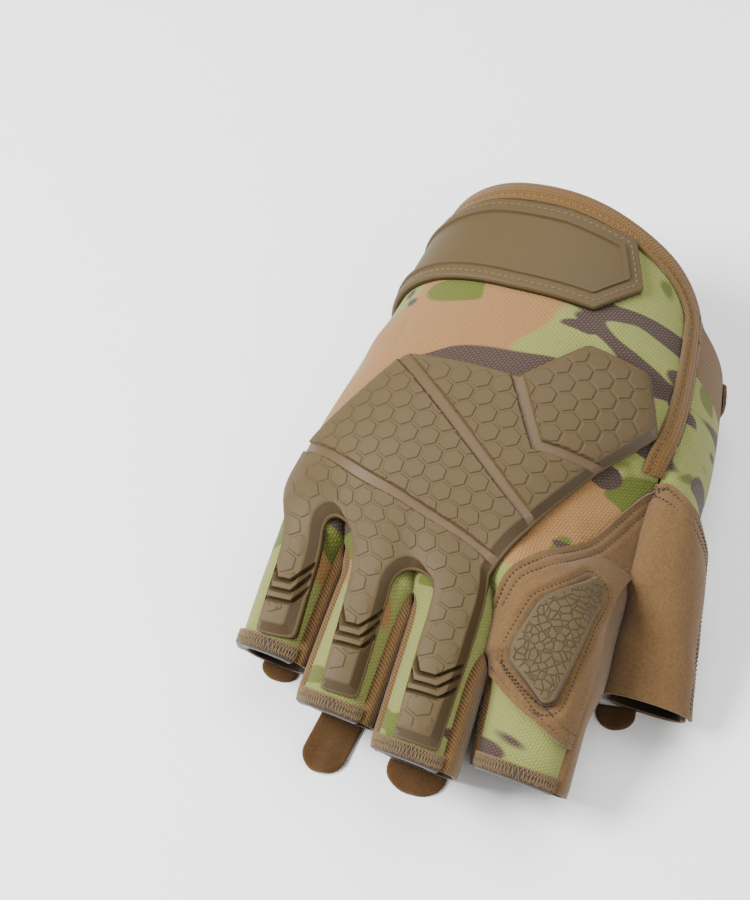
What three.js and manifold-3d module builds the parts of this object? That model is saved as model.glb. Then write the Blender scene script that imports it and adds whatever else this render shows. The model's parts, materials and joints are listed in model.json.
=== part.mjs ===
// Fingerless tactical glove for the right hand, lying palm down with its fingers towards -Y.
// Millimetres, +Z up, the palm on z = 0. The thumb is at +X.
import * as THREE from "three";
import Module from "manifold-3d";

const wasm = await Module();
wasm.setup();

// Walls and gaps
const BACK_WALL = 1.6;
const PALM_WALL = 1.4;
const FOURCHETTE_WALL = 1.2;
const SUEDE = 1.1;
const EDGE_GAP = 0.3;
const LIFT = 0.5;
const CLEAR = 0.25;

// Moulded rubber
const FLANGE = 1.3;
const GUARD = 3.1;
const CHANNEL_WIDTH = 4.4;
const CHANNEL_FLOOR = 1.3;
const STRAP = 2.4;
const STRAP_BORDER = 1.1;
const PAD = 1.9;
const SLOT_WIDTH = 0.9;
const SLOT_STEP = 2.5;
const SLOT_FLOOR = 1.2;

// Tape and overlock, folded over an edge
const TAPE = { width: 5.4, thick: 0.9, clear: 0.35, reach: 1.2 };
const OVERLOCK = { width: 3.4, thick: 0.8, clear: 0.3, reach: 1.0 };

// Colours
const RUBBER = 0x85765a;
const SUEDE_BROWN = 0x8b6b4a;
const TAPE_BROWN = 0x8a6636;
const RIB_BROWN = 0x8a6234;
const THREAD = 0x9c835c;
const CAMO = 0xb0aa7a;

function table(columns, ...rows) {
  const names = columns.split(" ");
  return rows.map((row) => Object.fromEntries(names.map((n, i) => [n, row[i]])));
}

// Sections of the hand from the wrist to the finger roots: l the left side, t the top,
// r the thumb side, zb the underside, and n how square each quarter is
const BODY = table(
  "y xl zl xt zt xr zr zb nl nr nb",
  [95, -29, 27, 3, 56, 49, 24, -1, 2.4, 2, 2.8],
  [75, -33, 26, 4, 57, 56, 20, -1, 2.5, 2, 3],
  [50, -38, 24, 5, 57, 61, 17, -1, 2.5, 2, 3],
  [25, -44, 22, 6, 55, 63, 16, -1, 2.4, 2, 3],
  [5, -48, 21, 6, 51, 59, 16, 1, 2.4, 2.05, 3],
  [-15, -49, 20, 4, 46, 55, 17, 5, 2.4, 2.2, 2.8],
  [-35, -49, 18, 2, 41, 51, 16, 6, 2.4, 2.4, 2.6],
  [-60, -49, 14, 0, 32, 50, 14, 3, 2.4, 2.4, 2.4],
);

// Share of a section's length, from the thumb side, where one finger's strip meets the next
const BORDERS = table(
  "y s1 s2 s3 s4",
  [90, 0.17, 0.44, 0.62, 0.8],
  [60, 0.17, 0.44, 0.62, 0.8],
  [30, 0.17, 0.42, 0.62, 0.79],
  [5, 0.17, 0.42, 0.625, 0.79],
  [-15, 0.16, 0.445, 0.63, 0.785],
  [-35, 0.17, 0.475, 0.63, 0.785],
  [-80, 0.2, 0.475, 0.63, 0.785],
);

// Finger tubes: where the tube begins, its root and its mouth, and the angle of its right seam
const FINGERS = table(
  "name start y0 x0 top0 bot0 w0 y1 x1 top1 bot1 w1 skew seam0 seam1",
  ["thumb", 34, 2, 59, 30, 0, 8.5, -41, 62.7, 15, 0, 11.8, 0.05, 0, 0],
  ["index", -16, -43, 34.9, 39, 5, 13.8, -75.5, 36.2, 23, 0, 13, 0.1, 20, 40],
  ["middle", -18, -44, 8.1, 41, 9, 11, -79, 7.5, 25, 0, 11.4, 0.12, 40, 46],
  ["ring", -14, -38, -14.6, 39.5, 9, 10.3, -70.5, -17.2, 24, 0, 10.6, 0.12, 40, 46],
  ["little", -4, -28, -37.4, 35, 7, 10.5, -58, -39.3, 23, 0, 9.8, 0.12, 40, 46],
);
const CROTCH = [4, -50, -40, -29];
const SEAM = THREE.MathUtils.degToRad(28);
const UNDER = THREE.MathUtils.degToRad(30);
const FADE = 11;
const ARC_STEPS = 180;

// Rows of the grid: shares of the stretch above WRIST_Y, and then fixed places
const WRIST_Y = 12;
const WRIST_ROWS = [1, 0.85, 0.69, 0.54, 0.4, 0.26, 0.12];
const HEEL_ROW = 0.69;
const HAND_ROWS = [WRIST_Y, 4, -5, -14, -22, -29, -30.5, -35, -40, -41.5, -46, -50];
const TAIL_STEPS = 4;
const NEAR = 1.5;
const COLUMNS = [5, 5, 4, 4, 5];
const PALM_COLUMNS = [4, 3, 3, 3, 4];
const WEB_COLUMNS = 3;

const smooth = (x) => THREE.MathUtils.smoothstep(x, 0, 1);
const clamp01 = (x) => THREE.MathUtils.clamp(x, 0, 1);
const lerp = THREE.MathUtils.lerp;
const steps = (n) => Array.from({ length: n + 1 }, (_, i) => i / n);

// A column of a table as a smooth curve of y, whose rows run down in y
function curve(rows, key, y) {
  const last = rows.length - 1;
  y = THREE.MathUtils.clamp(y, rows[last].y, rows[0].y);
  let i = 0;
  while (i < last - 1 && y < rows[i + 1].y) i++;
  const slope = (j) => {
    const a = rows[Math.max(j - 1, 0)];
    const b = rows[Math.min(j + 1, last)];
    return (b[key] - a[key]) / (b.y - a.y);
  };
  const h = rows[i + 1].y - rows[i].y;
  const t = (y - rows[i].y) / h;
  const value = (2 * t ** 3 - 3 * t ** 2 + 1) * rows[i][key] + (3 * t ** 2 - 2 * t ** 3) * rows[i + 1][key];
  return value + (t ** 3 - 2 * t ** 2 + t) * h * slope(i) + (t ** 3 - t ** 2) * h * slope(i + 1);
}

// Half of the hand's section at y as points with their share of its length; side 1 is the back
const arcs = new Map();
function bodyArc(y, side) {
  const key = `${y.toFixed(4)} ${side}`;
  if (arcs.has(key)) return arcs.get(key);
  const at = (name) => curve(BODY, name, y);
  const tip = side > 0 ? at("zt") : at("zb");
  const points = [];
  for (let i = 0; i <= ARC_STEPS; i++) {
    const angle = (Math.PI * i) / ARC_STEPS;
    const end = Math.cos(angle) >= 0 ? "r" : "l";
    const power = 2 / (side > 0 ? at("n" + end) : at("nb"));
    const x = at("xt") + (at("x" + end) - at("xt")) * Math.abs(Math.cos(angle)) ** power;
    const z = at("z" + end) + (tip - at("z" + end)) * Math.abs(Math.sin(angle)) ** power;
    points.push(new THREE.Vector3(x, y, Math.max(z, 0)));
  }
  const shares = [0];
  points.slice(1).forEach((p, i) => shares.push(shares[i] + p.distanceTo(points[i])));
  const arc = { points, shares: shares.map((s) => s / shares[ARC_STEPS]) };
  arcs.set(key, arc);
  return arc;
}

function bodyPoint(u, y, side) {
  const { points, shares } = bodyArc(y, side);
  let i = 0;
  while (i < ARC_STEPS - 1 && u > shares[i + 1]) i++;
  const t = clamp01((u - shares[i]) / (shares[i + 1] - shares[i]));
  return points[i].clone().lerp(points[i + 1], t);
}

// A finger's tube: angle 0 is its right side and 90 degrees its back
const alongFinger = (f, y) => (f.y0 - y) / (f.y0 - f.y1);
function fingerPoint(k, angle, y) {
  const f = FINGERS[k];
  const s = Math.max(alongFinger(f, y), -1.2);
  const c = clamp01(s);
  const cx = lerp(f.x0, f.x1, s);
  const top = lerp(f.top0, f.top1, s) + 4.8 * c * (1 - c);
  const bottom = lerp(f.bot0, f.bot1, s);
  const middle = (top + bottom) / 2;
  const lean = (smooth(s) * (f.top0 - f.top1)) / (f.y0 - f.y1);
  const round = (v) => Math.sign(v) * Math.abs(v) ** 0.8;
  const x = cx + lerp(f.w0, f.w1, c) * round(Math.cos(angle));
  const z = Math.max(middle + ((top - bottom) / 2) * round(Math.sin(angle)), 0);
  return new THREE.Vector3(x, y - lean * (z - middle) - smooth(s) * f.skew * (x - cx), z);
}

function seamAngle(k, y) {
  const f = FINGERS[k];
  return THREE.MathUtils.degToRad(lerp(f.seam0, f.seam1, clamp01(alongFinger(f, y))));
}
const tubeShare = (k, y) => smooth((FINGERS[k].start - y) / (FINGERS[k].start - FINGERS[k].y0));

// Finger k's strip of the back (side 1) or the palm (side -1), t from its right to its left edge
function stripPoint(k, t, y, side) {
  const at = [0, ...["s1", "s2", "s3", "s4"].map((s) => curve(BORDERS, s, y)), 1];
  const from = side > 0 ? seamAngle(k, y) : k === 0 ? 0 : UNDER;
  const to = k === 4 ? Math.PI : Math.PI - (side > 0 ? SEAM : UNDER);
  const tube = fingerPoint(k, side * lerp(from, to, t), y);
  return bodyPoint(lerp(at[k], at[k + 1], t), y, side).lerp(tube, tubeShare(k, y));
}

// How much of the shared border is left at y, going out along the gap b
function fade(y, b) {
  const x = clamp01((CROTCH[b] - y) / FADE);
  return (1 - Math.sqrt(x)) * (1 - x);
}

function sheetPoint(k, t, y, side) {
  const p = stripPoint(k, t, y, side);
  const pull = (b, edge, ramp) => {
    const at = Math.max(y, CROTCH[b]);
    const shared = stripPoint(b, 1, at, side).add(stripPoint(b + 1, 0, at, side)).divideScalar(2);
    p.addScaledVector(shared.sub(stripPoint(k, edge, at, side)), fade(y, b) * ramp);
  };
  if (k < 4) pull(k, 1, smooth(t));
  if (k > 0) pull(k - 1, 0, smooth(1 - t));
  return p;
}

// A wall of the gap b, t from the back seam down: the left side of finger b or the right of the next
function webPoint(b, left, t, y) {
  const raw = (isLeft, at) => {
    const k = isLeft ? b : b + 1;
    const edge = isLeft ? 1 : 0;
    const from = isLeft ? Math.PI - SEAM : seamAngle(k, at);
    const to = isLeft ? Math.PI + UNDER : -UNDER;
    const chord = fingerPoint(k, from, at).lerp(fingerPoint(k, to, at), t);
    const bulge = fingerPoint(k, lerp(from, to, t), at).sub(chord);
    const flat = stripPoint(k, edge, at, 1).lerp(stripPoint(k, edge, at, -1), t);
    return flat.addScaledVector(bulge, tubeShare(k, at));
  };
  const root = CROTCH[b];
  const shared = raw(true, root).add(raw(false, root)).divideScalar(2);
  return raw(left, y).addScaledVector(shared.sub(raw(left, root)), fade(y, b));
}

// The back panel stops this share short of the slit, and its binding fills the place
const SLIT_SHARE = 0.045;
const slitShare = (y) => SLIT_SHARE * clamp01((y - WRIST_Y) / 7);

// Where the wrist's edge lies, by x: it drops towards the thumb, with a round corner at the slit
const CUFF = { y: 91, slitX: 49, drop: 14, cornerX: 38, corner: 9, leftX: -10, left: 4, palmY: 64.5 };
function cuffY(x, side) {
  if (side < 0) return lerp(CUFF.palmY, 88, clamp01((56 - x) / 87));
  const bx = THREE.MathUtils.clamp(x, 0, CUFF.slitX);
  const corner = Math.max(bx - CUFF.cornerX, 0) / (CUFF.slitX - CUFF.cornerX);
  const left = Math.max(CUFF.leftX - x, 0) / 25;
  const back = CUFF.y - CUFF.drop * (bx / CUFF.slitX) ** 2 - CUFF.corner * corner ** 2 - CUFF.left * left ** 2;
  return back - 0.5 * Math.max(x - CUFF.slitX, 0);
}
const cuffAt = (k, t, side) => cuffY(sheetPoint(k, t, 75, side).x, side);

function normalAt(k, t, y, side) {
  const a = clamp01(t - 0.03);
  const b = clamp01(t + 0.03);
  const across = sheetPoint(k, b, y, side).sub(sheetPoint(k, a, y, side));
  const along = sheetPoint(k, t, y - 0.7, side).sub(sheetPoint(k, t, y + 0.7, side));
  return across.cross(along).multiplyScalar(side).normalize();
}

// The grid of the whole glove, welded so that every seam has one normal
class Skin {
  constructor() {
    this.points = [];
    this.normals = [];
    this.quads = [];
    this.ids = new Map();
  }
  vertex(p) {
    const key = [p.x, p.y, p.z].map((v) => v.toFixed(2)).join(" ");
    if (!this.ids.has(key)) {
      this.ids.set(key, this.points.length);
      this.points.push(p);
      this.normals.push(new THREE.Vector3());
    }
    return this.ids.get(key);
  }
  // grid[row][column]; flip turns the faces round; tag(row, column) says what a face belongs to
  add(grid, flip, tag) {
    const ids = grid.map((row) => row.map((p) => this.vertex(p)));
    for (let i = 0; i + 1 < ids.length; i++) {
      for (let j = 0; j + 1 < ids[i].length; j++) {
        const corners = [ids[i][j], ids[i][j + 1], ids[i + 1][j + 1], ids[i + 1][j]];
        if (flip) corners.reverse();
        this.quads.push({ corners, ...tag(i, j) });
        const [a, b, c, d] = corners.map((v) => this.points[v]);
        const normal = c.clone().sub(a).cross(d.clone().sub(b)).normalize();
        corners.forEach((v) => this.normals[v].add(normal));
      }
    }
  }
}

function rowsOf(k) {
  const last = k === 0 ? CROTCH[0] : Math.min(CROTCH[k - 1], CROTCH[Math.min(k, 3)]);
  const hand = HAND_ROWS.filter((y) => y >= last);
  const tail = steps(TAIL_STEPS).map((s) => lerp(last - NEAR, FINGERS[k].y1, s));
  return { hand, tail };
}

const skin = new Skin();
for (const side of [1, -1]) {
  FINGERS.forEach((finger, k) => {
    const { hand, tail } = rowsOf(k);
    const columns = steps((side > 0 ? COLUMNS : PALM_COLUMNS)[k]);
    const wrist = WRIST_ROWS.map((f) => columns.map((t) => lerp(WRIST_Y, cuffAt(k, t, side), f)));
    const ys = [...wrist, ...[...hand, ...tail].map((y) => columns.map(() => y))];
    const share = (t, y) => (side > 0 && k === 1 ? Math.max(t, slitShare(y)) : t);
    const grid = ys.map((row) => row.map((y, j) => sheetPoint(k, share(columns[j], y), y, side)));
    skin.add(grid, side < 0, (i) => ({
      part: side > 0 ? "back" : "palm",
      k,
      heel: i < WRIST_ROWS.indexOf(HEEL_ROW),
      finger: i >= WRIST_ROWS.length + hand.indexOf(CROTCH[0]),
    }));
  });
}
CROTCH.forEach((root, b) => {
  for (const left of [true, false]) {
    const { hand, tail } = rowsOf(left ? b : b + 1);
    const ys = [...hand, ...tail].filter((y) => y <= root);
    const grid = ys.map((y) => steps(WEB_COLUMNS).map((t) => webPoint(b, left, t, y)));
    skin.add(grid, !left, () => ({ part: "web", b }));
  }
});
skin.normals.forEach((n) => n.normalize());

// A closed solid of two layers over some quads, whose outline is drawn back by EDGE_GAP
function thicken(points, normals, quads, outer, inner, gap = EDGE_GAP) {
  const edges = new Map();
  const inward = new Map();
  const used = [...new Set(quads.flat())];
  for (const quad of quads) {
    quad.forEach((a, i) => {
      const b = quad[(i + 1) % 4];
      if (edges.has(`${b} ${a}`)) edges.delete(`${b} ${a}`);
      else edges.set(`${a} ${b}`, [a, b]);
    });
  }
  const rim = [...edges.values()];
  const onRim = new Set(rim.flat());
  const tangents = new Map([...onRim].map((v) => [v, new THREE.Vector3()]));
  for (const [a, b] of rim) {
    const edge = points[b].clone().sub(points[a]).normalize();
    tangents.get(a).add(edge);
    tangents.get(b).add(edge);
  }
  for (const quad of quads) {
    const centre = quad.reduce((sum, v) => sum.add(points[v]), new THREE.Vector3()).divideScalar(4);
    for (const v of quad.filter((q) => onRim.has(q))) {
      const sum = inward.get(v) ?? new THREE.Vector3();
      inward.set(v, sum.add(centre.clone().sub(points[v]).normalize()));
    }
  }
  const shift = (v) => {
    const move = inward.get(v) ?? new THREE.Vector3();
    for (const axis of [tangents.get(v) ?? new THREE.Vector3(), normals[v]]) {
      if (axis.lengthSq() > 0.1) move.addScaledVector(axis, -move.dot(axis) / axis.lengthSq());
    }
    return move.lengthSq() > 1e-6 && gap ? move.setLength(gap) : move.set(0, 0, 0);
  };
  const ids = new Map(used.map((v, i) => [v, i]));
  const coords = [];
  const shifts = used.map(shift);
  for (const height of [outer, inner]) {
    used.forEach((v, i) => {
      const p = points[v].clone().addScaledVector(normals[v], height).add(shifts[i]);
      coords.push(p.x, p.y, Math.max(p.z, 0));
    });
  }
  const faces = [];
  const n = used.length;
  for (const quad of quads) {
    const [a, b, c, d] = quad.map((v) => ids.get(v));
    faces.push(a, b, c, a, c, d, a + n, c + n, b + n, a + n, d + n, c + n);
  }
  for (const [a, b] of rim.map((edge) => edge.map((v) => ids.get(v)))) {
    faces.push(b, a, a + n, b, a + n, b + n);
  }
  const geometry = new THREE.BufferGeometry();
  geometry.setAttribute("position", new THREE.Float32BufferAttribute(coords, 3));
  return geometry.setIndex(faces);
}

const skinPiece = (wall, wanted) =>
  thicken(skin.points, skin.normals, skin.quads.filter(wanted).map((q) => q.corners), 0, -wall);

function solid(geometry) {
  const mesh = new wasm.Mesh({
    numProp: 3,
    vertProperties: new Float32Array(geometry.getAttribute("position").array),
    triVerts: new Uint32Array(geometry.index.array),
  });
  return new wasm.Manifold(mesh);
}

function geometryOf(body) {
  const mesh = body.getMesh();
  const coords = [];
  for (let i = 0; i < mesh.numVert; i++) {
    coords.push(...mesh.vertProperties.subarray(i * mesh.numProp, i * mesh.numProp + 3));
  }
  const geometry = new THREE.BufferGeometry();
  geometry.setAttribute("position", new THREE.Float32BufferAttribute(coords, 3));
  return geometry.setIndex([...mesh.triVerts]);
}

// What is left of a piece clear of the wall under it
const clearance = (part, wall) => {
  const wanted = (q) => q.part === part && !(part === "back" && q.k === 0 && q.finger);
  const quads = skin.quads.filter(wanted).map((q) => q.corners);
  return solid(thicken(skin.points, skin.normals, quads, CLEAR, -wall - CLEAR, 0));
};
const wallsAround = [clearance("back", BACK_WALL), clearance("palm", PALM_WALL)];
const web = clearance("web", SUEDE);
function clearOfWalls(geometry, walls = wallsAround) {
  const bodies = walls.reduce((body, wall) => body.subtract(wall), solid(geometry)).decompose();
  return geometryOf(bodies.reduce((a, b) => (b.volume() > a.volume() ? b : a)));
}

// The suede saddle over the index finger and thumb: its upper edge, the row where the two parts
// meet, and its lower edge, by s = finger number + share across its strip
const SADDLE = table(
  "s top joint bottom",
  [0, 4.5, -3, -41],
  [0.2, 6.5, -1, -41],
  [0.45, 9.5, 1, -41],
  [0.7, 13.5, 3, -41],
  [1, 13.5, 4, -41],
  [1, 13.5, 4, -65],
  [1.2, 5, -4, -65],
  [1.4, -13, -22, -63],
  [1.6, -25, -32, -60.5],
  [1.8, -32, -38, -57.5],
  [1.98, -39, -44, -54],
);
const SADDLE_TOP_ROWS = 2;
const SADDLE_ROWS = 9;

function saddle() {
  const own = new Skin();
  const smoothNormals = [];
  for (const [k, columns] of [SADDLE.slice(0, 5), SADDLE.slice(5)].entries()) {
    const rows = [
      ...steps(SADDLE_TOP_ROWS).map((f) => (c) => lerp(c.top, c.joint, f)),
      ...steps(SADDLE_ROWS).slice(1).map((f) => (c) => lerp(c.joint, c.bottom, f)),
    ];
    const ys = rows.map((row) => columns.map(row));
    const grid = ys.map((row) => row.map((y, j) => sheetPoint(k, columns[j].s - k, y, 1)));
    own.add(grid, false, () => ({}));
    ys.forEach((row, i) =>
      row.forEach((y, j) => {
        smoothNormals[own.vertex(grid[i][j])] = normalAt(k, columns[j].s - k, y, 1);
      }),
    );
  }
  return thicken(own.points, smoothNormals, own.quads.map((q) => q.corners), LIFT + SUEDE, LIFT);
}

// Tape folded over an edge: at each station the edge point, the outward normal and the way in
function foldedTape(stations, wall, size) {
  const outer = size.clear + size.thick;
  const inner = -wall - size.clear;
  const profile = [
    [size.width, outer],
    [-size.reach, outer],
    [-size.reach, inner - size.thick],
    [size.width, inner - size.thick],
    [size.width, inner],
    [-size.clear, inner],
    [-size.clear, size.clear],
    [size.width, size.clear],
  ];
  const coords = stations.flatMap(({ point, normal }, i) => {
    const before = stations[Math.max(i - 1, 0)].point;
    const after = stations[Math.min(i + 1, stations.length - 1)].point;
    const into = normal.clone().cross(after.clone().sub(before).normalize()).normalize();
    return profile.flatMap(([a, h]) => {
      const p = point.clone().addScaledVector(into, a).addScaledVector(normal, h);
      return [p.x, p.y, Math.max(p.z, 0)];
    });
  });
  const faces = [];
  const n = profile.length;
  const last = (stations.length - 1) * n;
  for (let i = 0; i < last; i += n) {
    for (let j = 0; j < n; j++) {
      const next = (j + 1) % n;
      faces.push(i + j, i + next, i + n + next, i + j, i + n + next, i + n + j);
    }
  }
  const cap = THREE.ShapeUtils.triangulateShape(profile.map(([a, h]) => new THREE.Vector2(a, h)), []);
  for (const [a, b, c] of cap) faces.push(a, c, b, last + a, last + b, last + c);
  const geometry = new THREE.BufferGeometry();
  geometry.setAttribute("position", new THREE.Float32BufferAttribute(coords, 3));
  return geometry.setIndex(faces);
}

const station = (k, t, y, side) => ({
  point: sheetPoint(k, t, y, side),
  normal: normalAt(k, t, y, side),
});

function cuffBinding() {
  const stations = [];
  const cuff = (k, t, side) => station(k, t, cuffAt(k, t, side) - 0.2, side);
  const slitTop = cuffAt(1, 0, 1) - 2;
  for (const f of steps(7)) {
    const y = lerp(WRIST_Y + 3.5, slitTop, f);
    stations.push(station(1, slitShare(y), y, 1));
  }
  for (const k of [1, 2, 3, 4]) {
    for (const t of steps(COLUMNS[k]).slice(k === 1 ? 0 : 1)) stations.push(cuff(k, Math.max(t, SLIT_SHARE), 1));
  }
  for (const k of [4, 3, 2, 1, 0]) {
    for (const t of steps(PALM_COLUMNS[k]).slice(1)) stations.push(cuff(k, 1 - t, -1));
  }
  return foldedTape(stations, BACK_WALL, TAPE);
}

function mouthOverlock(k) {
  const end = FINGERS[k].y1 + 0.1;
  const stations = steps(COLUMNS[k] * 2).map((f) => station(k, lerp(0.96, 0.04, f), end, 1));
  return foldedTape(stations, BACK_WALL, OVERLOCK);
}

// A flat chart of the back in millimetres: p across, from the border of the ring finger, and
// q along, from y = 0. Its last strip carries on round the left side on to the palm.
const CHART_STEP = 1.5;
const CHART_COLUMNS = steps(12);
const CHART_SPLIT = [-36, -36, -36, -36, -27];
const chart = [];
for (let y = 94.5; y > -81; y -= CHART_STEP) {
  const strips = FINGERS.map((f, k) => CHART_COLUMNS.map((t) => ({ ...station(k, t, y, 1), t })));
  strips.push(CHART_COLUMNS.map((t) => station(4, 1 - 0.6 * t, y, -1)));
  const starts = [0, 0, 0, 0, 0, 0];
  const length = (strip) =>
    strip.slice(1).reduce((sum, c, i) => sum + c.point.distanceTo(strip[i].point), 0);
  [3, 4].forEach((k) => (starts[k + 1] = starts[k] - length(strips[k])));
  [2, 1, 0].forEach((k) => (starts[k] = length(strips[k]) + (k < 2 ? starts[k + 1] : 0)));
  strips.forEach((strip, k) => {
    strip.forEach((c, j) => (c.p = j ? strip[j - 1].p - c.point.distanceTo(strip[j - 1].point) : starts[k]));
  });
  const before = chart[chart.length - 1];
  if (before) {
    strips.slice(0, 5).forEach((strip, k) => {
      if (y >= CHART_SPLIT[k]) return;
      const middle = CHART_COLUMNS.length >> 1;
      const drift = strip[middle].point.x - before.strips[k][middle].point.x;
      const move = before.strips[k][middle].p + drift - strip[middle].p;
      strip.forEach((c) => (c.p += move));
    });
  }
  const spine = strips[2][CHART_COLUMNS.length >> 1].point;
  chart.push({ y, strips, spine, q: before ? before.q - spine.distanceTo(before.spine) : 0 });
}
const qZero = chart.find((row) => row.y <= 0).q;
chart.forEach((row) => (row.q -= qZero));

function chartRow(row, p) {
  let best = null;
  for (const strip of row.strips) {
    const inside = THREE.MathUtils.clamp(p, strip[strip.length - 1].p, strip[0].p);
    if (!best || Math.abs(inside - p) < Math.abs(best.inside - p)) best = { strip, inside };
  }
  const { strip, inside } = best;
  let j = 0;
  while (j < strip.length - 2 && inside < strip[j + 1].p) j++;
  const t = clamp01((strip[j].p - inside) / (strip[j].p - strip[j + 1].p));
  return ["point", "normal"].map((key) => strip[j][key].clone().lerp(strip[j + 1][key], t));
}

function drape(p, q, height) {
  let i = 0;
  while (i < chart.length - 2 && q < chart[i + 1].q) i++;
  const t = clamp01((chart[i].q - q) / (chart[i].q - chart[i + 1].q));
  const above = chartRow(chart[i], p);
  const [point, normal] = chartRow(chart[i + 1], p).map((v, n) => above[n].lerp(v, t));
  return point.addScaledVector(normal.normalize(), height);
}

// A solid with straight sides between a lower and an upper outline of as many points
function slab(lower, upper, z0, z1) {
  const n = lower.length;
  const coords = [...lower.flatMap(([x, y]) => [x, y, z0]), ...upper.flatMap(([x, y]) => [x, y, z1])];
  const faces = [];
  for (const [outline, start, flip] of [[lower, 0, true], [upper, n, false]]) {
    const cap = THREE.ShapeUtils.triangulateShape(outline.map((p) => new THREE.Vector2(...p)), []);
    for (const [a, b, c] of cap) faces.push(start + a, start + (flip ? c : b), start + (flip ? b : c));
  }
  for (let i = 0; i < n; i++) {
    const next = (i + 1) % n;
    faces.push(i, next, n + next, i, n + next, n + i);
  }
  const geometry = new THREE.BufferGeometry();
  geometry.setAttribute("position", new THREE.Float32BufferAttribute(coords, 3));
  return solid(geometry.setIndex(faces));
}

// An outline, anticlockwise, drawn in by d
function inset(outline, d) {
  const n = outline.length;
  return outline.map(([x, y], i) => {
    const [ax, ay] = outline[(i + n - 1) % n];
    const [bx, by] = outline[(i + 1) % n];
    const u = new THREE.Vector2(x - ax, y - ay).normalize();
    const v = new THREE.Vector2(bx - x, by - y).normalize();
    const side = new THREE.Vector2(-u.y - v.y, u.x + v.x);
    const reach = d / Math.max(side.length() / 2, 0.5);
    side.setLength(reach);
    return [x + side.x, y + side.y];
  });
}

function arc(cx, cy, rx, ry, from, to, n) {
  return steps(n).map((f) => {
    const angle = THREE.MathUtils.degToRad(lerp(from, to, f));
    return [cx + rx * Math.cos(angle), cy + ry * Math.sin(angle)];
  });
}

// The back bends less along the hand than across it
const ALONG = 0.5;

// Splits every edge longer than the limit, lays the solid on the chart and returns its geometry
function lay(flat, limit, height) {
  const mesh = flat.getMesh();
  const points = [];
  for (let i = 0; i < mesh.numVert; i++) {
    const at = mesh.vertProperties.subarray(i * mesh.numProp, i * mesh.numProp + 3);
    points.push(new THREE.Vector3(...at));
  }
  const middles = new Map();
  const middle = (a, b) => {
    const key = a < b ? `${a} ${b}` : `${b} ${a}`;
    if (!middles.has(key)) {
      middles.set(key, points.length);
      points.push(points[a].clone().lerp(points[b], 0.5));
    }
    return middles.get(key);
  };
  const plan = (a, b) => {
    return Math.hypot(points[a].x - points[b].x, ALONG * (points[a].y - points[b].y));
  };
  const faces = [];
  const todo = [];
  for (let i = 0; i < mesh.triVerts.length; i += 3) todo.push([...mesh.triVerts.subarray(i, i + 3)]);
  while (todo.length) {
    const [a, b, c] = todo.pop();
    const lengths = [plan(a, b), plan(b, c), plan(c, a)];
    const longest = lengths.indexOf(Math.max(...lengths));
    if (lengths[longest] <= limit) {
      faces.push(a, b, c);
      continue;
    }
    const [u, v, w] = [[a, b, c], [b, c, a], [c, a, b]][longest];
    const m = middle(u, v);
    todo.push([u, m, w], [m, v, w]);
  }
  const geometry = new THREE.BufferGeometry();
  geometry.setFromPoints(points.map((p) => drape(p.x, p.y, height + p.z)));
  return geometry.setIndex(faces);
}

// Knuckle guard outline on the chart, anticlockwise, with its strips along three fingers
const STRIPS = table(
  "name right left end chevron",
  ["middle", 22.6, 9.2, -86.6, -68],
  ["ring", -5.8, -17.4, -75.5, -56.5],
  ["little", -27.2, -38.8, -60, -45],
);
const STRIP_CORNER = 2.2;
const STRIP_TAPER = 0.6;
const stripEnd = ({ right, left, end }) => [
  [left + STRIP_TAPER, end + STRIP_CORNER],
  [left + STRIP_TAPER + STRIP_CORNER, end],
  [right - STRIP_TAPER - STRIP_CORNER, end],
  [right - STRIP_TAPER, end + STRIP_CORNER],
];
const U_CUTS = table("q height", [-45, 6.3], [-32, 5.8]);
const uCut = (i) => {
  const [a, b] = [STRIPS[i].left, STRIPS[i + 1].right];
  return arc((a + b) / 2, U_CUTS[i].q, (a - b) / 2, U_CUTS[i].height, 180, 0, 6);
};
const GUARD_OUTLINE = [
  [57, 24.5],
  [47.5, 40.5],
  [28, 41],
  [14.5, 25],
  [-19, 26.5],
  [-29.5, 8.5],
  [-36.4, -2],
  [-37, -12],
  [-38, -26],
  ...stripEnd(STRIPS[2]),
  ...uCut(1),
  ...stripEnd(STRIPS[1]),
  ...uCut(0),
  ...stripEnd(STRIPS[0]),
  [24.2, -40],
  [24.4, -35.5],
  [34.6, -18.5],
  [46.6, 6.5],
];
const CHANNELS = table(
  "p0 q0 p1 q1",
  [-22.5, 28, 38, -19.3],
  [-50, 2.8, 31, -33.5],
  [11.8, 27.7, 28.3, 5.6],
  [27.2, 5.6, 51, 7.6],
);

function channelCutter({ p0, q0, p1, q1 }, floor) {
  const half = CHANNEL_WIDTH / 2;
  const along = new THREE.Vector2(p1 - p0, q1 - q0).normalize();
  const [dx, dy] = [-along.y * half, along.x * half];
  const outline = [[p0 - dx, q0 - dy], [p1 - dx, q1 - dy], [p1 + dx, q1 + dy], [p0 + dx, q0 + dy]];
  return slab(outline, outline, floor, GUARD + 2);
}

// A nick of three straight cuts across a strip, open towards the wrist
function chevronCutter(centre, q) {
  const upper = [[-6.5, 7], [-2.4, 0], [2.4, 0], [6.5, 7]];
  const shape = (dq) => upper.map(([p, rise]) => [centre + p, q + rise + dq]);
  const outline = [...shape(-SLOT_WIDTH), ...shape(SLOT_WIDTH).reverse()];
  return slab(outline, outline, SLOT_FLOOR, GUARD + 2);
}

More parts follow.
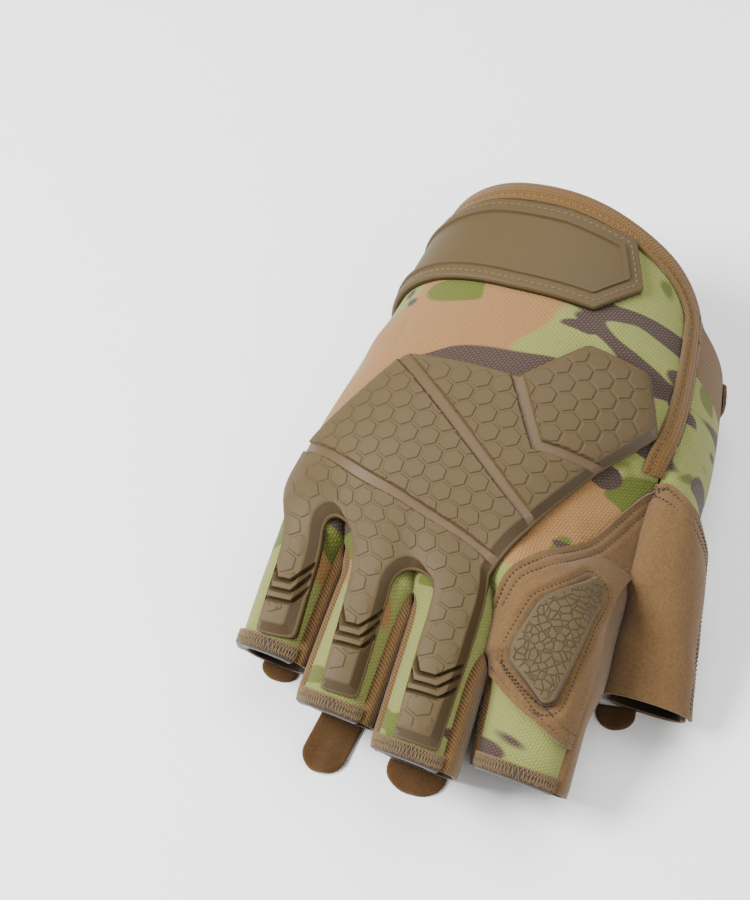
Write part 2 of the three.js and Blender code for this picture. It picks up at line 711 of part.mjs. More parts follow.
function knuckleGuard() {
  const flange = slab(GUARD_OUTLINE, GUARD_OUTLINE, 0, FLANGE);
  const lower = inset(GUARD_OUTLINE, 0.7);
  const blocks = slab(lower, inset(GUARD_OUTLINE, 2), FLANGE - 0.1, GUARD);
  const cutters = CHANNELS.map((channel) => channelCutter(channel, CHANNEL_FLOOR));
  for (const { right, left, chevron } of STRIPS) {
    for (const i of [0, 1, 2]) cutters.push(chevronCutter((left + right) / 2, chevron - i * SLOT_STEP));
  }
  const all = wasm.Manifold.union(cutters);
  return lay(flange.add(blocks).subtract(all), 13, LIFT);
}

// Wrist strap on the chart: a plain field inside a raised border line
const STRAP_OUTLINE = [
  [-74, 54.5],
  [-22, 54.5],
  [2, 53],
  [25.6, 53],
  [36.5, 66],
  [30, 81.5],
  [10, 84.5],
  [-12, 84.5],
  [-30, 82],
  [-74, 81],
];
const STRAP_FRAME = { inset: 5, width: 1.2, height: 0.6 };
function wristStrap() {
  const base = slab(STRAP_OUTLINE, inset(STRAP_OUTLINE, 0.5), 0, STRAP - STRAP_FRAME.height);
  const ring = [0, STRAP_FRAME.width].map((d) => {
    const line = inset(STRAP_OUTLINE, STRAP_FRAME.inset + d);
    return slab(line, line, STRAP_BORDER, STRAP);
  });
  return lay(base.add(ring[0].subtract(ring[1])), 13, LIFT);
}

const PAD_OUTLINE = [
  [42.4, -40],
  [39.4, -52.5],
  [40.6, -57],
  [52.6, -66.5],
  [54.4, -64.5],
  [57.4, -28.5],
  [56.6, -26.2],
  [52.6, -25.2],
];
const indexPad = () =>
  lay(slab(PAD_OUTLINE, inset(PAD_OUTLINE, 0.8), 0, PAD), 7, 2 * LIFT + SUEDE + 0.1);

// Pull tabs: a suede tongue with a round end, on the floor at the palm edge of a mouth
const TABS = table(
  "name k from to width length",
  ["little", 4, 0.25, 0.5, 10.5, 4.5],
  ["ring", 3, 1 / 3, 2 / 3, 12.5, 18],
  ["middle", 2, 1 / 3, 2 / 3, 13, 8],
  ["thumb", 0, 0.72, 0.97, 9, 6.5],
);
const TAB_THICK = 1.1;
const TAB_LIFT = 0.15;
function pullTab({ k, from, to, width, length }) {
  const [right, left] = [from, to].map((t) => sheetPoint(k, t, FINGERS[k].y1, -1));
  const r = width / 2;
  const round = Math.min(r, 0.8 * length);
  const outline = [[-r, 0], ...arc(0, round - length, r, round, 180, 360, 8), [r, 0]];
  const angle = Math.atan2(right.y - left.y, right.x - left.x);
  const geometry = geometryOf(slab(outline, outline, TAB_LIFT, TAB_LIFT + TAB_THICK));
  return geometry.rotateZ(angle).translate((left.x + right.x) / 2, (left.y + right.y) / 2, 0);
}

// The glove, moved so that the middle of its outline lies over the origin
const MIDDLE = { x: 12.2, y: 2.9 };
const root = new THREE.Group();
root.name = "fingerless_tactical_glove";
root.position.set(-MIDDLE.x, -MIDDLE.y, 0);

function add(name, geometry, color, roughness) {
  const material = new THREE.MeshStandardMaterial({ color, roughness, metalness: 0 });
  const mesh = new THREE.Mesh(geometry, material);
  mesh.name = name;
  root.add(mesh);
}

add("back_panel", skinPiece(BACK_WALL, (q) => q.part === "back" && q.k > 0), CAMO, 0.95);
add("wrist_gusset", skinPiece(BACK_WALL, (q) => q.part === "back" && !q.k && !q.heel && !q.finger), CAMO, 0.95);
add("heel_wrap", skinPiece(BACK_WALL, (q) => q.part === "back" && !q.k && q.heel), RIB_BROWN, 0.9);
add("palm_panel", skinPiece(PALM_WALL, (q) => q.part === "palm"), SUEDE_BROWN, 0.95);
add("thumb_web", skinPiece(SUEDE, (q) => q.part === "web" && q.b === 0), SUEDE_BROWN, 0.95);
["middle_index", "ring_middle", "little_ring"].forEach((name, i) => {
  const wanted = (q) => q.part === "web" && q.b === i + 1;
  add("fourchette_" + name, skinPiece(FOURCHETTE_WALL, wanted), RIB_BROWN, 0.9);
});
add("suede_saddle", clearOfWalls(saddle(), [...wallsAround, web]), SUEDE_BROWN, 0.95);
add("index_pad", indexPad(), RUBBER, 0.7);
add("knuckle_guard", clearOfWalls(knuckleGuard()), RUBBER, 0.7);
add("wrist_strap", clearOfWalls(wristStrap()), RUBBER, 0.7);
add("cuff_binding", clearOfWalls(cuffBinding()), TAPE_BROWN, 0.95);
FINGERS.forEach((finger, k) => {
  if (k > 0) add("overlock_" + finger.name, clearOfWalls(mouthOverlock(k)), THREAD, 0.95);
});
TABS.forEach((tab) => add("pull_tab_" + tab.name, pullTab(tab), SUEDE_BROWN, 0.95));

export default root;
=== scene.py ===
"""Looks of a fingerless tactical glove for the right hand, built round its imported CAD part.

The tables of the glove's form are in millimetres in the maker's frame, with the palm on z = 0,
the finger ends towards -Y and the thumb at +X. Meshes are written in metres, moved by MIDDLE.
"""

import json
import math

import bpy
import numpy as np
from bpy.props import FloatProperty, FloatVectorProperty, IntProperty, PointerProperty
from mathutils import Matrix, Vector
from mathutils.geometry import delaunay_2d_cdt

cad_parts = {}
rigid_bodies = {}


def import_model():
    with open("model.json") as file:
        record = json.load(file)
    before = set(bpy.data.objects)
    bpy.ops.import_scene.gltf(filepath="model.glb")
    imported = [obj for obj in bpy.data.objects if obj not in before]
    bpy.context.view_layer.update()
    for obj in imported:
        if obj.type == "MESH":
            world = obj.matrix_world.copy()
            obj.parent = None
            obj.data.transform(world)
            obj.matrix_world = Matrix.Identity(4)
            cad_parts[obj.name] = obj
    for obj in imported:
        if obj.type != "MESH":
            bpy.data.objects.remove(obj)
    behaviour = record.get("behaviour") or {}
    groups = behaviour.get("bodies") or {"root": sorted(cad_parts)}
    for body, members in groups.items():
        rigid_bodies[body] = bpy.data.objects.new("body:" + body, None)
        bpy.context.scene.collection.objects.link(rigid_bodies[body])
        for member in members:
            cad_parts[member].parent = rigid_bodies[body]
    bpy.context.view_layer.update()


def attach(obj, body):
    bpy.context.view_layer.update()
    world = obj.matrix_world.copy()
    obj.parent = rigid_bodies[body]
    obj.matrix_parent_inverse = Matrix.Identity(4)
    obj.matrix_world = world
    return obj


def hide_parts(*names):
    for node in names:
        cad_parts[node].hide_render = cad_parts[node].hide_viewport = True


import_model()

MIDDLE = np.array([12.2, 2.9, 0.0])
MM = 0.001

bl_info = {
    "name": "Fingerless Tactical Glove",
    "version": (1, 0, 0),
    "blender": (4, 5, 0),
    "location": "3D Viewport > Sidebar > Glove",
    "description": "Makes the cloth, suede, rubber and stitching of a fingerless glove",
    "category": "Add Mesh",
}


def table(columns, *rows):
    names = columns.split()
    return [dict(zip(names, row)) for row in rows]


# Walls, layers and tapes
BACK_WALL = 1.6
PALM_WALL = 1.4
RIBBED_WALL = 1.2
SUEDE_WALL = 1.1
LIFT = 0.5
FLANGE = 1.3
GUARD_HEIGHT = 3.1
STRAP_HEIGHT = 2.4
PAD_HEIGHT = 1.9
TAPE = {"width": 6.4, "thick": 0.9, "clear": 0.35, "reach": 1.2, "groove": 0.3}
OVERLOCK = {"width": 3.4, "thick": 0.8, "clear": 0.3, "reach": 1.0, "groove": 0}
# Where the row of stitches runs, as a share of a tape's width
TAPE_ROW = 0.68

# Sections of the hand from the wrist to the finger roots: l the left side, t the top,
# r the thumb side, zb the underside, and n how square each quarter is
BODY = table(
    "y xl zl xt zt xr zr zb nl nr nb",
    (95, -29, 27, 3, 56, 49, 24, -1, 2.4, 2, 2.8),
    (75, -33, 26, 4, 57, 56, 20, -1, 2.5, 2, 3),
    (50, -38, 24, 5, 57, 61, 17, -1, 2.5, 2, 3),
    (25, -44, 22, 6, 55, 63, 16, -1, 2.4, 2, 3),
    (5, -48, 21, 6, 51, 59, 16, 1, 2.4, 2.05, 3),
    (-15, -49, 20, 4, 46, 55, 17, 5, 2.4, 2.2, 2.8),
    (-35, -49, 18, 2, 41, 51, 16, 6, 2.4, 2.4, 2.6),
    (-60, -49, 14, 0, 32, 50, 14, 3, 2.4, 2.4, 2.4),
)

# Share of a section's length, from the thumb side, where one finger's strip meets the next
BORDERS = table(
    "y s1 s2 s3 s4",
    (90, 0.17, 0.44, 0.62, 0.8),
    (60, 0.17, 0.44, 0.62, 0.8),
    (30, 0.17, 0.42, 0.62, 0.79),
    (5, 0.17, 0.42, 0.625, 0.79),
    (-15, 0.125, 0.445, 0.63, 0.785),
    (-35, 0.125, 0.475, 0.63, 0.785),
    (-80, 0.2, 0.475, 0.63, 0.785),
)

# Finger tubes: where the tube begins, its root and its mouth, and the angle of its right seam
FINGERS = table(
    "name start y0 x0 top0 bot0 w0 y1 x1 top1 bot1 w1 skew seam0 seam1",
    ("thumb", 27, 2, 59, 30, 0, 8.5, -41, 62.7, 15, 0, 11.8, 0.05, 0, 0),
    ("index", -16, -43, 34.9, 39, 5, 13.8, -75.5, 36.2, 23, 0, 13, 0.1, 20, 40),
    ("middle", -18, -44, 8.1, 41, 9, 11, -79, 7.5, 25, 0, 11.4, 0.12, 40, 46),
    ("ring", -14, -38, -14.6, 39.5, 9, 10.3, -70.5, -17.2, 24, 0, 10.6, 0.12, 40, 46),
    ("little", -4, -28, -37.4, 35, 7, 10.5, -58, -39.3, 23, 0, 9.8, 0.12, 40, 46),
)
THUMB, INDEX, MIDDLE_FINGER, RING, LITTLE = range(5)
CROWN = 4.8
SQUARENESS = 0.8
CROTCH = (-14, -50, -40, -29)
SEAM = math.radians(28)
UNDER = math.radians(30)
FADE = 11
THUMB_FADE = {"above": 6, "run": 20}
ANGLES = np.linspace(0, math.pi, 181)
WRIST_Y = 12
HEEL_SHARE = 0.69
SLIT_SHARE = 0.045
SLIT_RUN = 7
CUFF = {
    "y": 91,
    "slit_x": 49,
    "slit_slope": 0.5,
    "drop": 14,
    "corner_x": 38,
    "corner": 9,
    "left_x": -10,
    "left_run": 25,
    "left": 4,
    "palm_y": 64.5,
    "palm_left_y": 88,
    "palm_x": 56,
    "palm_run": 87,
}
# How far the index finger's wall of the web leans on the thumb's, and where that ends
TOUCH = {"share": 0.75, "y": -36, "run": 22, "power": 0.6}


def smooth(x):
    x = np.clip(x, 0, 1)
    return x * x * (3 - 2 * x)


def lerp(a, b, t):
    return a + (b - a) * t


def unit(v):
    return v / np.maximum(np.linalg.norm(v, axis=-1, keepdims=True), 1e-9)


def paired(t, y):
    """Two values or arrays as flat arrays of one length."""
    return (np.asarray(v, float).ravel() for v in np.broadcast_arrays(t, y))


def curve(rows, key, y):
    """A column of a table as a smooth curve of y, whose rows run down in y."""
    ys = np.array([r["y"] for r in rows], float)
    values = np.array([r[key] for r in rows], float)
    last = len(ys) - 1
    y = np.clip(y, ys[-1], ys[0])
    i = np.clip(np.searchsorted(-ys, -y, side="left") - 1, 0, last - 1)
    below = np.maximum(np.arange(last + 1) - 1, 0)
    above = np.minimum(np.arange(last + 1) + 1, last)
    slope = (values[above] - values[below]) / (ys[above] - ys[below])
    h = ys[i + 1] - ys[i]
    t = (y - ys[i]) / h
    ends = (2 * t**3 - 3 * t**2 + 1) * values[i] + (3 * t**2 - 2 * t**3) * values[i + 1]
    return ends + (t**3 - 2 * t**2 + t) * h * slope[i] + (t**3 - t**2) * h * slope[i + 1]


def hand_point(u, y, side):
    """Points of the hand's section at y, at the share u of its length; side 1 is the back."""
    levels, row = np.unique(np.round(y, 4), return_inverse=True)
    at = {name: curve(BODY, name, levels)[:, None] for name in BODY[0] if name != "y"}
    c, s = np.cos(ANGLES), np.sin(ANGLES)
    right = c >= 0
    power = 2 / (np.where(right, at["nr"], at["nl"]) if side > 0 else at["nb"])
    ze = np.where(right, at["zr"], at["zl"])
    tip = at["zt"] if side > 0 else at["zb"]
    x = at["xt"] + (np.where(right, at["xr"], at["xl"]) - at["xt"]) * np.abs(c) ** power
    z = np.maximum(ze + (tip - ze) * np.abs(s) ** power, 0)
    steps = np.cumsum(np.hypot(np.diff(x, axis=1), np.diff(z, axis=1)), axis=1)
    share = np.concatenate([np.zeros((len(levels), 1)), steps / steps[:, -1:]], axis=1)
    i = np.clip((share[row] < u[:, None]).sum(1) - 1, 0, len(ANGLES) - 2)
    t = np.clip((u - share[row, i]) / (share[row, i + 1] - share[row, i]), 0, 1)
    return np.stack([lerp(x[row, i], x[row, i + 1], t), y, lerp(z[row, i], z[row, i + 1], t)], -1)


def along_finger(k, y):
    f = FINGERS[k]
    return (f["y0"] - y) / (f["y0"] - f["y1"])


def finger_point(k, angle, y):
    """A finger's tube: angle 0 is its right side and 90 degrees its back."""
    f = FINGERS[k]
    s = np.maximum(along_finger(k, y), -1.2)
    c = np.clip(s, 0, 1)
    cx = lerp(f["x0"], f["x1"], s)
    top = lerp(f["top0"], f["top1"], s) + CROWN * c * (1 - c)
    bottom = lerp(f["bot0"], f["bot1"], s)
    middle = (top + bottom) / 2
    lean = smooth(s) * (f["top0"] - f["top1"]) / (f["y0"] - f["y1"])
    co, si = np.cos(angle), np.sin(angle)
    x = cx + lerp(f["w0"], f["w1"], c) * np.sign(co) * np.abs(co) ** SQUARENESS
    z = np.maximum(middle + (top - bottom) / 2 * np.sign(si) * np.abs(si) ** SQUARENESS, 0)
    return np.stack([x, y - lean * (z - middle) - smooth(s) * f["skew"] * (x - cx), z], -1)


def seam_angle(k, y):
    f = FINGERS[k]
    return np.radians(lerp(f["seam0"], f["seam1"], np.clip(along_finger(k, y), 0, 1)))


def tube_share(k, y):
    f = FINGERS[k]
    return smooth((f["start"] - y) / (f["start"] - f["y0"]))[:, None]


def strip_point(k, t, y, side):
    """Finger k's strip of the back or the palm, t from its right to its left edge."""
    ends = [0.0 * y, *(curve(BORDERS, f"s{i}", y) for i in (1, 2, 3, 4)), 1.0 + 0.0 * y]
    start = seam_angle(k, y) if side > 0 else (0 if k == THUMB else UNDER)
    end = math.pi if k == LITTLE else math.pi - (SEAM if side > 0 else UNDER)
    hand = hand_point(lerp(ends[k], ends[k + 1], t), y, side)
    return lerp(hand, finger_point(k, side * lerp(start, end, t), y), tube_share(k, y))


def fade(y, b):
    """How much two strips still share below the end of their gap b: 1 there, and 0 further on."""
    x = np.clip((CROTCH[b] - y) / FADE, 0, 1)
    return (1 - np.sqrt(x)) * (1 - x)


def sheet(k, t, y, side):
    """Points of finger k's strip, joined to its neighbours above the finger gaps."""
    t, y = paired(t, y)
    p = strip_point(k, t, y, side)
    for b, edge, ramp in ((k, 1.0, smooth(t)), (k - 1, 0.0, smooth(1 - t))):
        if 0 <= b < len(CROTCH):
            at = np.maximum(y, CROTCH[b])
            ones = np.ones_like(at)
            shared = (strip_point(b, ones, at, side) + strip_point(b + 1, 0 * ones, at, side)) / 2
            soft = fade(y, b)
            if b == THUMB:
                soft = 1 - smooth((CROTCH[b] + THUMB_FADE["above"] - y) / THUMB_FADE["run"])
            share = ramp * lerp(soft, fade(y, b), ramp**3)
            p = p + (shared - strip_point(k, edge * ones, at, side)) * share[:, None]
    return p


def web_point(b, left, t, y):
    """A wall of the gap b, t from the back seam down; left is the left side of finger b."""

    def raw(is_left, at):
        k = b if is_left else b + 1
        edge = (1.0 if is_left else 0.0) * np.ones_like(at)
        start = math.pi - SEAM + 0 * at if is_left else seam_angle(k, at)
        end = math.pi + UNDER if is_left else -UNDER
        s = t[:, None]
        chord = lerp(finger_point(k, start, at), finger_point(k, end + 0 * at, at), s)
        bulge = finger_point(k, lerp(start, end, t), at) - chord
        flat = lerp(strip_point(k, edge, at, 1), strip_point(k, edge, at, -1), s)
        wall = flat + bulge * tube_share(k, at)
        if b == THUMB and not is_left:
            touch = TOUCH["share"] * (1 - smooth((TOUCH["y"] - at) / TOUCH["run"]))
            touch = touch * np.sin(math.pi * np.clip(t, 0, 1)) ** TOUCH["power"]
            wall = lerp(wall, raw(True, at), touch[:, None])
        return wall

    t, y = paired(t, y)
    root = np.full_like(y, CROTCH[b])
    shared = (raw(True, root) + raw(False, root)) / 2
    return raw(left, y) + (shared - raw(left, root)) * fade(y, b)[:, None]


def slit_share(y):
    return SLIT_SHARE * np.clip((y - WRIST_Y) / SLIT_RUN, 0, 1)


def cuff_y(x, side):
    """Where the wrist's edge lies, by x: it drops towards the thumb, with a round corner."""
    if side < 0:
        share = np.clip((CUFF["palm_x"] - x) / CUFF["palm_run"], 0, 1)
        return lerp(CUFF["palm_y"], CUFF["palm_left_y"], share)
    bx = np.clip(x, 0, CUFF["slit_x"])
    corner = np.maximum(bx - CUFF["corner_x"], 0) / (CUFF["slit_x"] - CUFF["corner_x"])
    left = np.maximum(CUFF["left_x"] - x, 0) / CUFF["left_run"]
    back = CUFF["y"] - CUFF["drop"] * (bx / CUFF["slit_x"]) ** 2 - CUFF["corner"] * corner**2
    return back - CUFF["left"] * left**2 - CUFF["slit_slope"] * np.maximum(x - CUFF["slit_x"], 0)


def cuff_at(k, t, side):
    return cuff_y(sheet(k, t, 75.0, side)[:, 0], side)


def sheet_normal(k, t, y, side):
    t, y = paired(t, y)
    a, b = np.clip(t - 0.03, 0, 1), np.clip(t + 0.03, 0, 1)
    across = sheet(k, b, y, side) - sheet(k, a, y, side)
    along = sheet(k, t, y - 0.7, side) - sheet(k, t, y + 0.7, side)
    return unit(np.cross(across, along) * side)


# The flat chart of the back in millimetres: p across, from the border of the ring finger, and
# q along, from y = 0. Its last strip carries on round the left side on to the palm.
CHART_SPAN = (94.5, -81)
CHART_STEP = 1.5
CHART_T = np.linspace(0, 1, 25)
CHART_SPLIT = (-36, -36, -36, -36, -27)
CHART_PALM_SHARE = 0.6


def make_chart():
    ys = np.arange(*CHART_SPAN, -CHART_STEP)
    n, m = len(ys), len(CHART_T)
    y, t = np.repeat(ys, m), np.tile(CHART_T, n)
    strips = [(k, t, 1) for k in range(5)] + [(LITTLE, 1 - CHART_PALM_SHARE * t, -1)]
    points = np.stack([sheet(k, s, y, side).reshape(n, m, 3) for k, s, side in strips], 1)
    normals = np.stack([sheet_normal(k, s, y, side).reshape(n, m, 3) for k, s, side in strips], 1)
    across = np.zeros((n, 6, m))
    across[:, :, 1:] = -np.cumsum(np.linalg.norm(np.diff(points, axis=2), axis=3), axis=2)
    length = -across[:, :, -1]
    start = np.zeros((n, 6))
    start[:, 4] = -length[:, 3]
    start[:, 5] = start[:, 4] - length[:, 4]
    start[:, 2] = length[:, 2]
    start[:, 1] = start[:, 2] + length[:, 1]
    start[:, 0] = start[:, 1] + length[:, 0]
    p = across + start[:, :, None]
    middle = m // 2
    for k in range(5):
        for i in range(1, n):
            if ys[i] < CHART_SPLIT[k]:
                drift = points[i, k, middle, 0] - points[i - 1, k, middle, 0]
                p[i, k] += p[i - 1, k, middle] + drift - p[i, k, middle]
    spine = points[:, 2, middle]
    q = np.concatenate([[0], -np.cumsum(np.linalg.norm(np.diff(spine, axis=0), axis=1))])
    q -= q[np.argmax(ys <= 0)]
    return {"y": ys, "p": p, "q": q, "points": points, "normals": normals}


CHART = make_chart()


def chart_row(i, p):
    """Point and normal of chart row i at the places p."""
    rows = CHART["p"][i]
    inside = np.clip(p[:, None], rows[:, -1], rows[:, 0])
    strip = np.argmin(np.abs(inside - p[:, None]), axis=1)
    found = np.zeros((len(p), 6))
    for k in range(6):
        here = strip == k
        if here.any():
            both = np.concatenate([CHART["points"][i, k], CHART["normals"][i, k]], axis=1)
            for axis in range(6):
                found[here, axis] = np.interp(-inside[here, k], -rows[k], both[:, axis])
    return found


def drape(pq, height):
    """Lays flat points of the chart on the back of the glove, at a height over it."""
    pq = np.asarray(pq, float)
    i = np.clip(np.searchsorted(-CHART["q"], -pq[:, 1], side="left") - 1, 0, len(CHART["q"]) - 2)
    t = np.clip((CHART["q"][i] - pq[:, 1]) / (CHART["q"][i] - CHART["q"][i + 1]), 0, 1)[:, None]
    found = np.zeros((len(pq), 6))
    for row in np.unique(i):
        here = i == row
        found[here] = lerp(chart_row(row, pq[here, 0]), chart_row(row + 1, pq[here, 0]), t[here])
    return found[:, :3] + unit(found[:, 3:]) * np.reshape(height, (-1, 1))


class StiffBed:
    """A smoothed copy of the back for stiff rubber, which spans the hollows under it."""

    STEP = 2.0
    MARGIN = 8
    SOFT = (2.6, 2.4)

    def __init__(self, outline):
        low = np.min(outline, 0) - self.MARGIN
        high = np.max(outline, 0) + self.MARGIN
        self.low = low
        self.size = np.ceil((high - low) / self.STEP).astype(int) + 1
        p, q = (low[i] + self.STEP * np.arange(self.size[i]) for i in (0, 1))
        grid = np.stack(np.meshgrid(p, q, indexing="ij"), -1)
        points = drape(grid.reshape(-1, 2), 0.0).reshape(*self.size, 3)
        self.points = self.blurred(points)
        for _ in range(3):
            self.normals = unit(np.cross(*(np.gradient(self.points, axis=i) for i in (0, 1))))
            above = ((points - self.points) * self.normals).sum(-1, keepdims=True)
            self.points = self.points + self.normals * self.blurred(np.maximum(above, 0))

    def blurred(self, field):
        for axis, sigma in enumerate(self.SOFT):
            reach = math.ceil(3 * sigma)
            weights = np.exp(-((np.arange(-reach, reach + 1) / sigma) ** 2) / 2)
            pad = [(reach, reach) if i == axis else (0, 0) for i in range(3)]
            spread = np.pad(field, pad, mode="reflect", reflect_type="odd")
            field = sum(
                w * np.take(spread, np.arange(self.size[axis]) + i, axis=axis)
                for i, w in enumerate(weights / weights.sum())
            )
        return field

    def __call__(self, pq, height):
        at = np.clip((np.asarray(pq) - self.low) / self.STEP, 0, self.size - 1.001)
        i = at.astype(int)
        u, v = (at - i).T[:, :, None]
        both = []
        for grid in (self.points, self.normals):
            a, b = grid[i[:, 0], i[:, 1]], grid[i[:, 0] + 1, i[:, 1]]
            c, d = grid[i[:, 0], i[:, 1] + 1], grid[i[:, 0] + 1, i[:, 1] + 1]
            both.append(lerp(lerp(a, b, u), lerp(c, d, u), v))
        return both[0] + unit(both[1]) * np.reshape(height, (-1, 1))


def chart_place(k, t, y):
    """The chart's p and q, in millimetres, of points of the back."""
    t, y = paired(t, y)
    row = np.clip((CHART["y"][0] - y) / CHART_STEP, 0, len(CHART["y"]) - 1.001)
    col = np.clip(t, 0, 1) * (len(CHART_T) - 1.001)
    i, j = row.astype(int), col.astype(int)
    r, c = row - i, col - j
    p = CHART["p"][:, k]
    upper = lerp(p[i, j], p[i, j + 1], c)
    lower = lerp(p[i + 1, j], p[i + 1, j + 1], c)
    return np.stack([lerp(upper, lower, r), lerp(CHART["q"][i], CHART["q"][i + 1], r)], -1)


# The fine grid of the whole glove
COLUMNS = (28, 32, 26, 24, 30)
PALM_COLUMNS = (22, 18, 16, 16, 20)
WEB_COLUMNS = 14
ROW_STEP = 1.4
HEEL_ROWS = 18
WRIST_ROWS = 38
TAIL_ROWS = 20
NEAR_CROTCH = (0.12, 0.45, 0.95)


def hand_rows():
    marks = [WRIST_Y, CROTCH[0], CROTCH[3], CROTCH[2], CROTCH[1]]
    rows = {round(m - d, 3) for m in marks[1:4] for d in NEAR_CROTCH} | {float(marks[-1])}
    for a, b in zip(marks, marks[1:]):
        n = math.ceil((a - b) / ROW_STEP)
        rows |= {round(float(v), 3) for v in np.linspace(a, b, n, endpoint=False)}
    return sorted(rows, reverse=True)


HAND_ROWS = hand_rows()


def finger_rows(k):
    last = CROTCH[0] if k == THUMB else min(CROTCH[k - 1], CROTCH[min(k, 3)])
    tail = lerp(last, FINGERS[k]["y1"], (np.arange(1, TAIL_ROWS + 1) / TAIL_ROWS) ** 1.5)
    return [y for y in HAND_ROWS if y >= last] + list(tail)


class Skin:
    """The grid of the glove, welded so that every seam has one normal."""

    def __init__(self):
        self.points, self.uv, self.lift, self.quads, self.parts = [], [], [], [], []
        self.count = 0

    def add(self, points, uv, lift, flip, part_of_row):
        rows, columns = lift.shape
        ids = self.count + np.arange(rows * columns).reshape(rows, columns)
        quads = np.stack([ids[:-1, :-1], ids[:-1, 1:], ids[1:, 1:], ids[1:, :-1]], -1).reshape(-1, 4)
        self.quads.append(quads[:, ::-1] if flip else quads)
        self.parts += [part_of_row(i) for i in range(rows - 1) for _ in range(columns - 1)]
        self.points.append(points.reshape(-1, 3))
        self.uv.append(uv.reshape(-1, 2))
        self.lift.append(lift.ravel())
        self.count += rows * columns

    def weld(self):
        raw = np.concatenate(self.points)
        keys = np.floor(raw * 100 + 0.137).astype(np.int64)
        _, first, self.ids = np.unique(keys, axis=0, return_index=True, return_inverse=True)
        self.ids = self.ids.ravel()
        self.co = raw[first]
        self.raw_uv, self.raw_lift = np.concatenate(self.uv), np.concatenate(self.lift)
        self.raw_quads = np.concatenate(self.quads)
        self.parts = np.array(self.parts)
        a, b, c, d = (self.co[self.ids[self.raw_quads[:, i]]] for i in range(4))
        facing = unit(np.cross(c - a, d - b))
        self.normals = np.zeros_like(self.co)
        for i in range(4):
            np.add.at(self.normals, self.ids[self.raw_quads[:, i]], facing)
        self.normals = unit(self.normals)

    def shell(self, parts, wall, gap):
        """Both layers of some parts and the rim between them: points, faces, uv, inner faces."""
        raw = self.raw_quads[np.isin(self.parts, parts)]
        uv, lift = np.zeros((len(self.co), 2)), np.zeros(len(self.co))
        uv[self.ids[raw]], lift[self.ids[raw]] = self.raw_uv[raw], self.raw_lift[raw]
        return thicken(self.co, self.normals, self.ids[raw], lift, lift - wall, gap, uv)


def thicken(points, normals, quads, outer, inner, gap, uv):
    used, small = np.unique(quads, return_inverse=True)
    small = small.reshape(quads.shape)
    co, n = points[used], normals[used]
    count = {}
    for quad in small.tolist():
        for i in range(4):
            edge = (quad[i], quad[(i + 1) % 4])
            if edge[0] != edge[1]:
                if edge[::-1] in count:
                    del count[edge[::-1]]
                else:
                    count[edge] = True
    rim = np.array(list(count))
    move, along = np.zeros_like(co), np.zeros_like(co)
    centre = co[small].mean(1)
    for i in range(4):
        np.add.at(move, small[:, i], unit(centre - co[small[:, i]]))
    edge = unit(co[rim[:, 1]] - co[rim[:, 0]])
    for end in (0, 1):
        np.add.at(along, rim[:, end], edge)
    for axis in (unit(along), n):
        move -= axis * (move * axis).sum(1, keepdims=True)
    on_rim = np.zeros(len(co), bool)
    on_rim[rim.ravel()] = True
    co = co + np.where(on_rim[:, None], unit(move) * gap, 0)
    heights = [np.broadcast_to(h if np.ndim(h) == 0 else h[used], len(co)) for h in (outer, inner)]
    layers = np.concatenate([co + n * h[:, None] for h in heights])
    layers[:, 2] = np.maximum(layers[:, 2], 0)
    m = len(co)
    a, b = rim[:, 0], rim[:, 1]
    sides = np.stack([b, a, a + m, b + m], -1)
    faces = [*small.tolist(), *(small[:, ::-1] + m).tolist(), *sides.tolist()]
    kinds = [0] * len(small) + [1] * len(small) + [0] * len(rim)
    return layers, faces, np.concatenate([uv[used], uv[used]]), kinds


# Soft folds of the back: a line on the chart, and its height and half width
FOLDS = table(
    "p0 q0 p1 q1 height width",
    (60, 47, 34, 50, 0.9, 4.5),
    (66, 34, 50, 33, 0.7, 4.0),
    (-42, 40, -8, 34, 0.6, 5.0),
    (20, 47, 40, 44, 0.5, 3.5),
    (62, 4, 48, -8, 0.7, 4.5),
    (52, -8, 38, -22, -0.5, 4.0),
)


def fold_lift(pq):
    total = np.zeros(len(pq))
    for f in FOLDS:
        d = line_distance(np.array([[f["p0"], f["q0"]], [f["p1"], f["q1"]]], float), pq)
        total += f["height"] * np.exp(-((d / f["width"]) ** 2))
    return total


# Rolls of the walls between the fingers, and how their cloth runs
RIB_ROLL = {"right": 2.4, "left": 1.4, "first": 0.15, "rise": 5, "before_end": 3, "fall": 9}
WALL_CLOTH = {"down": 30, "slant": 0.4}
EDGE_RAMP = 8


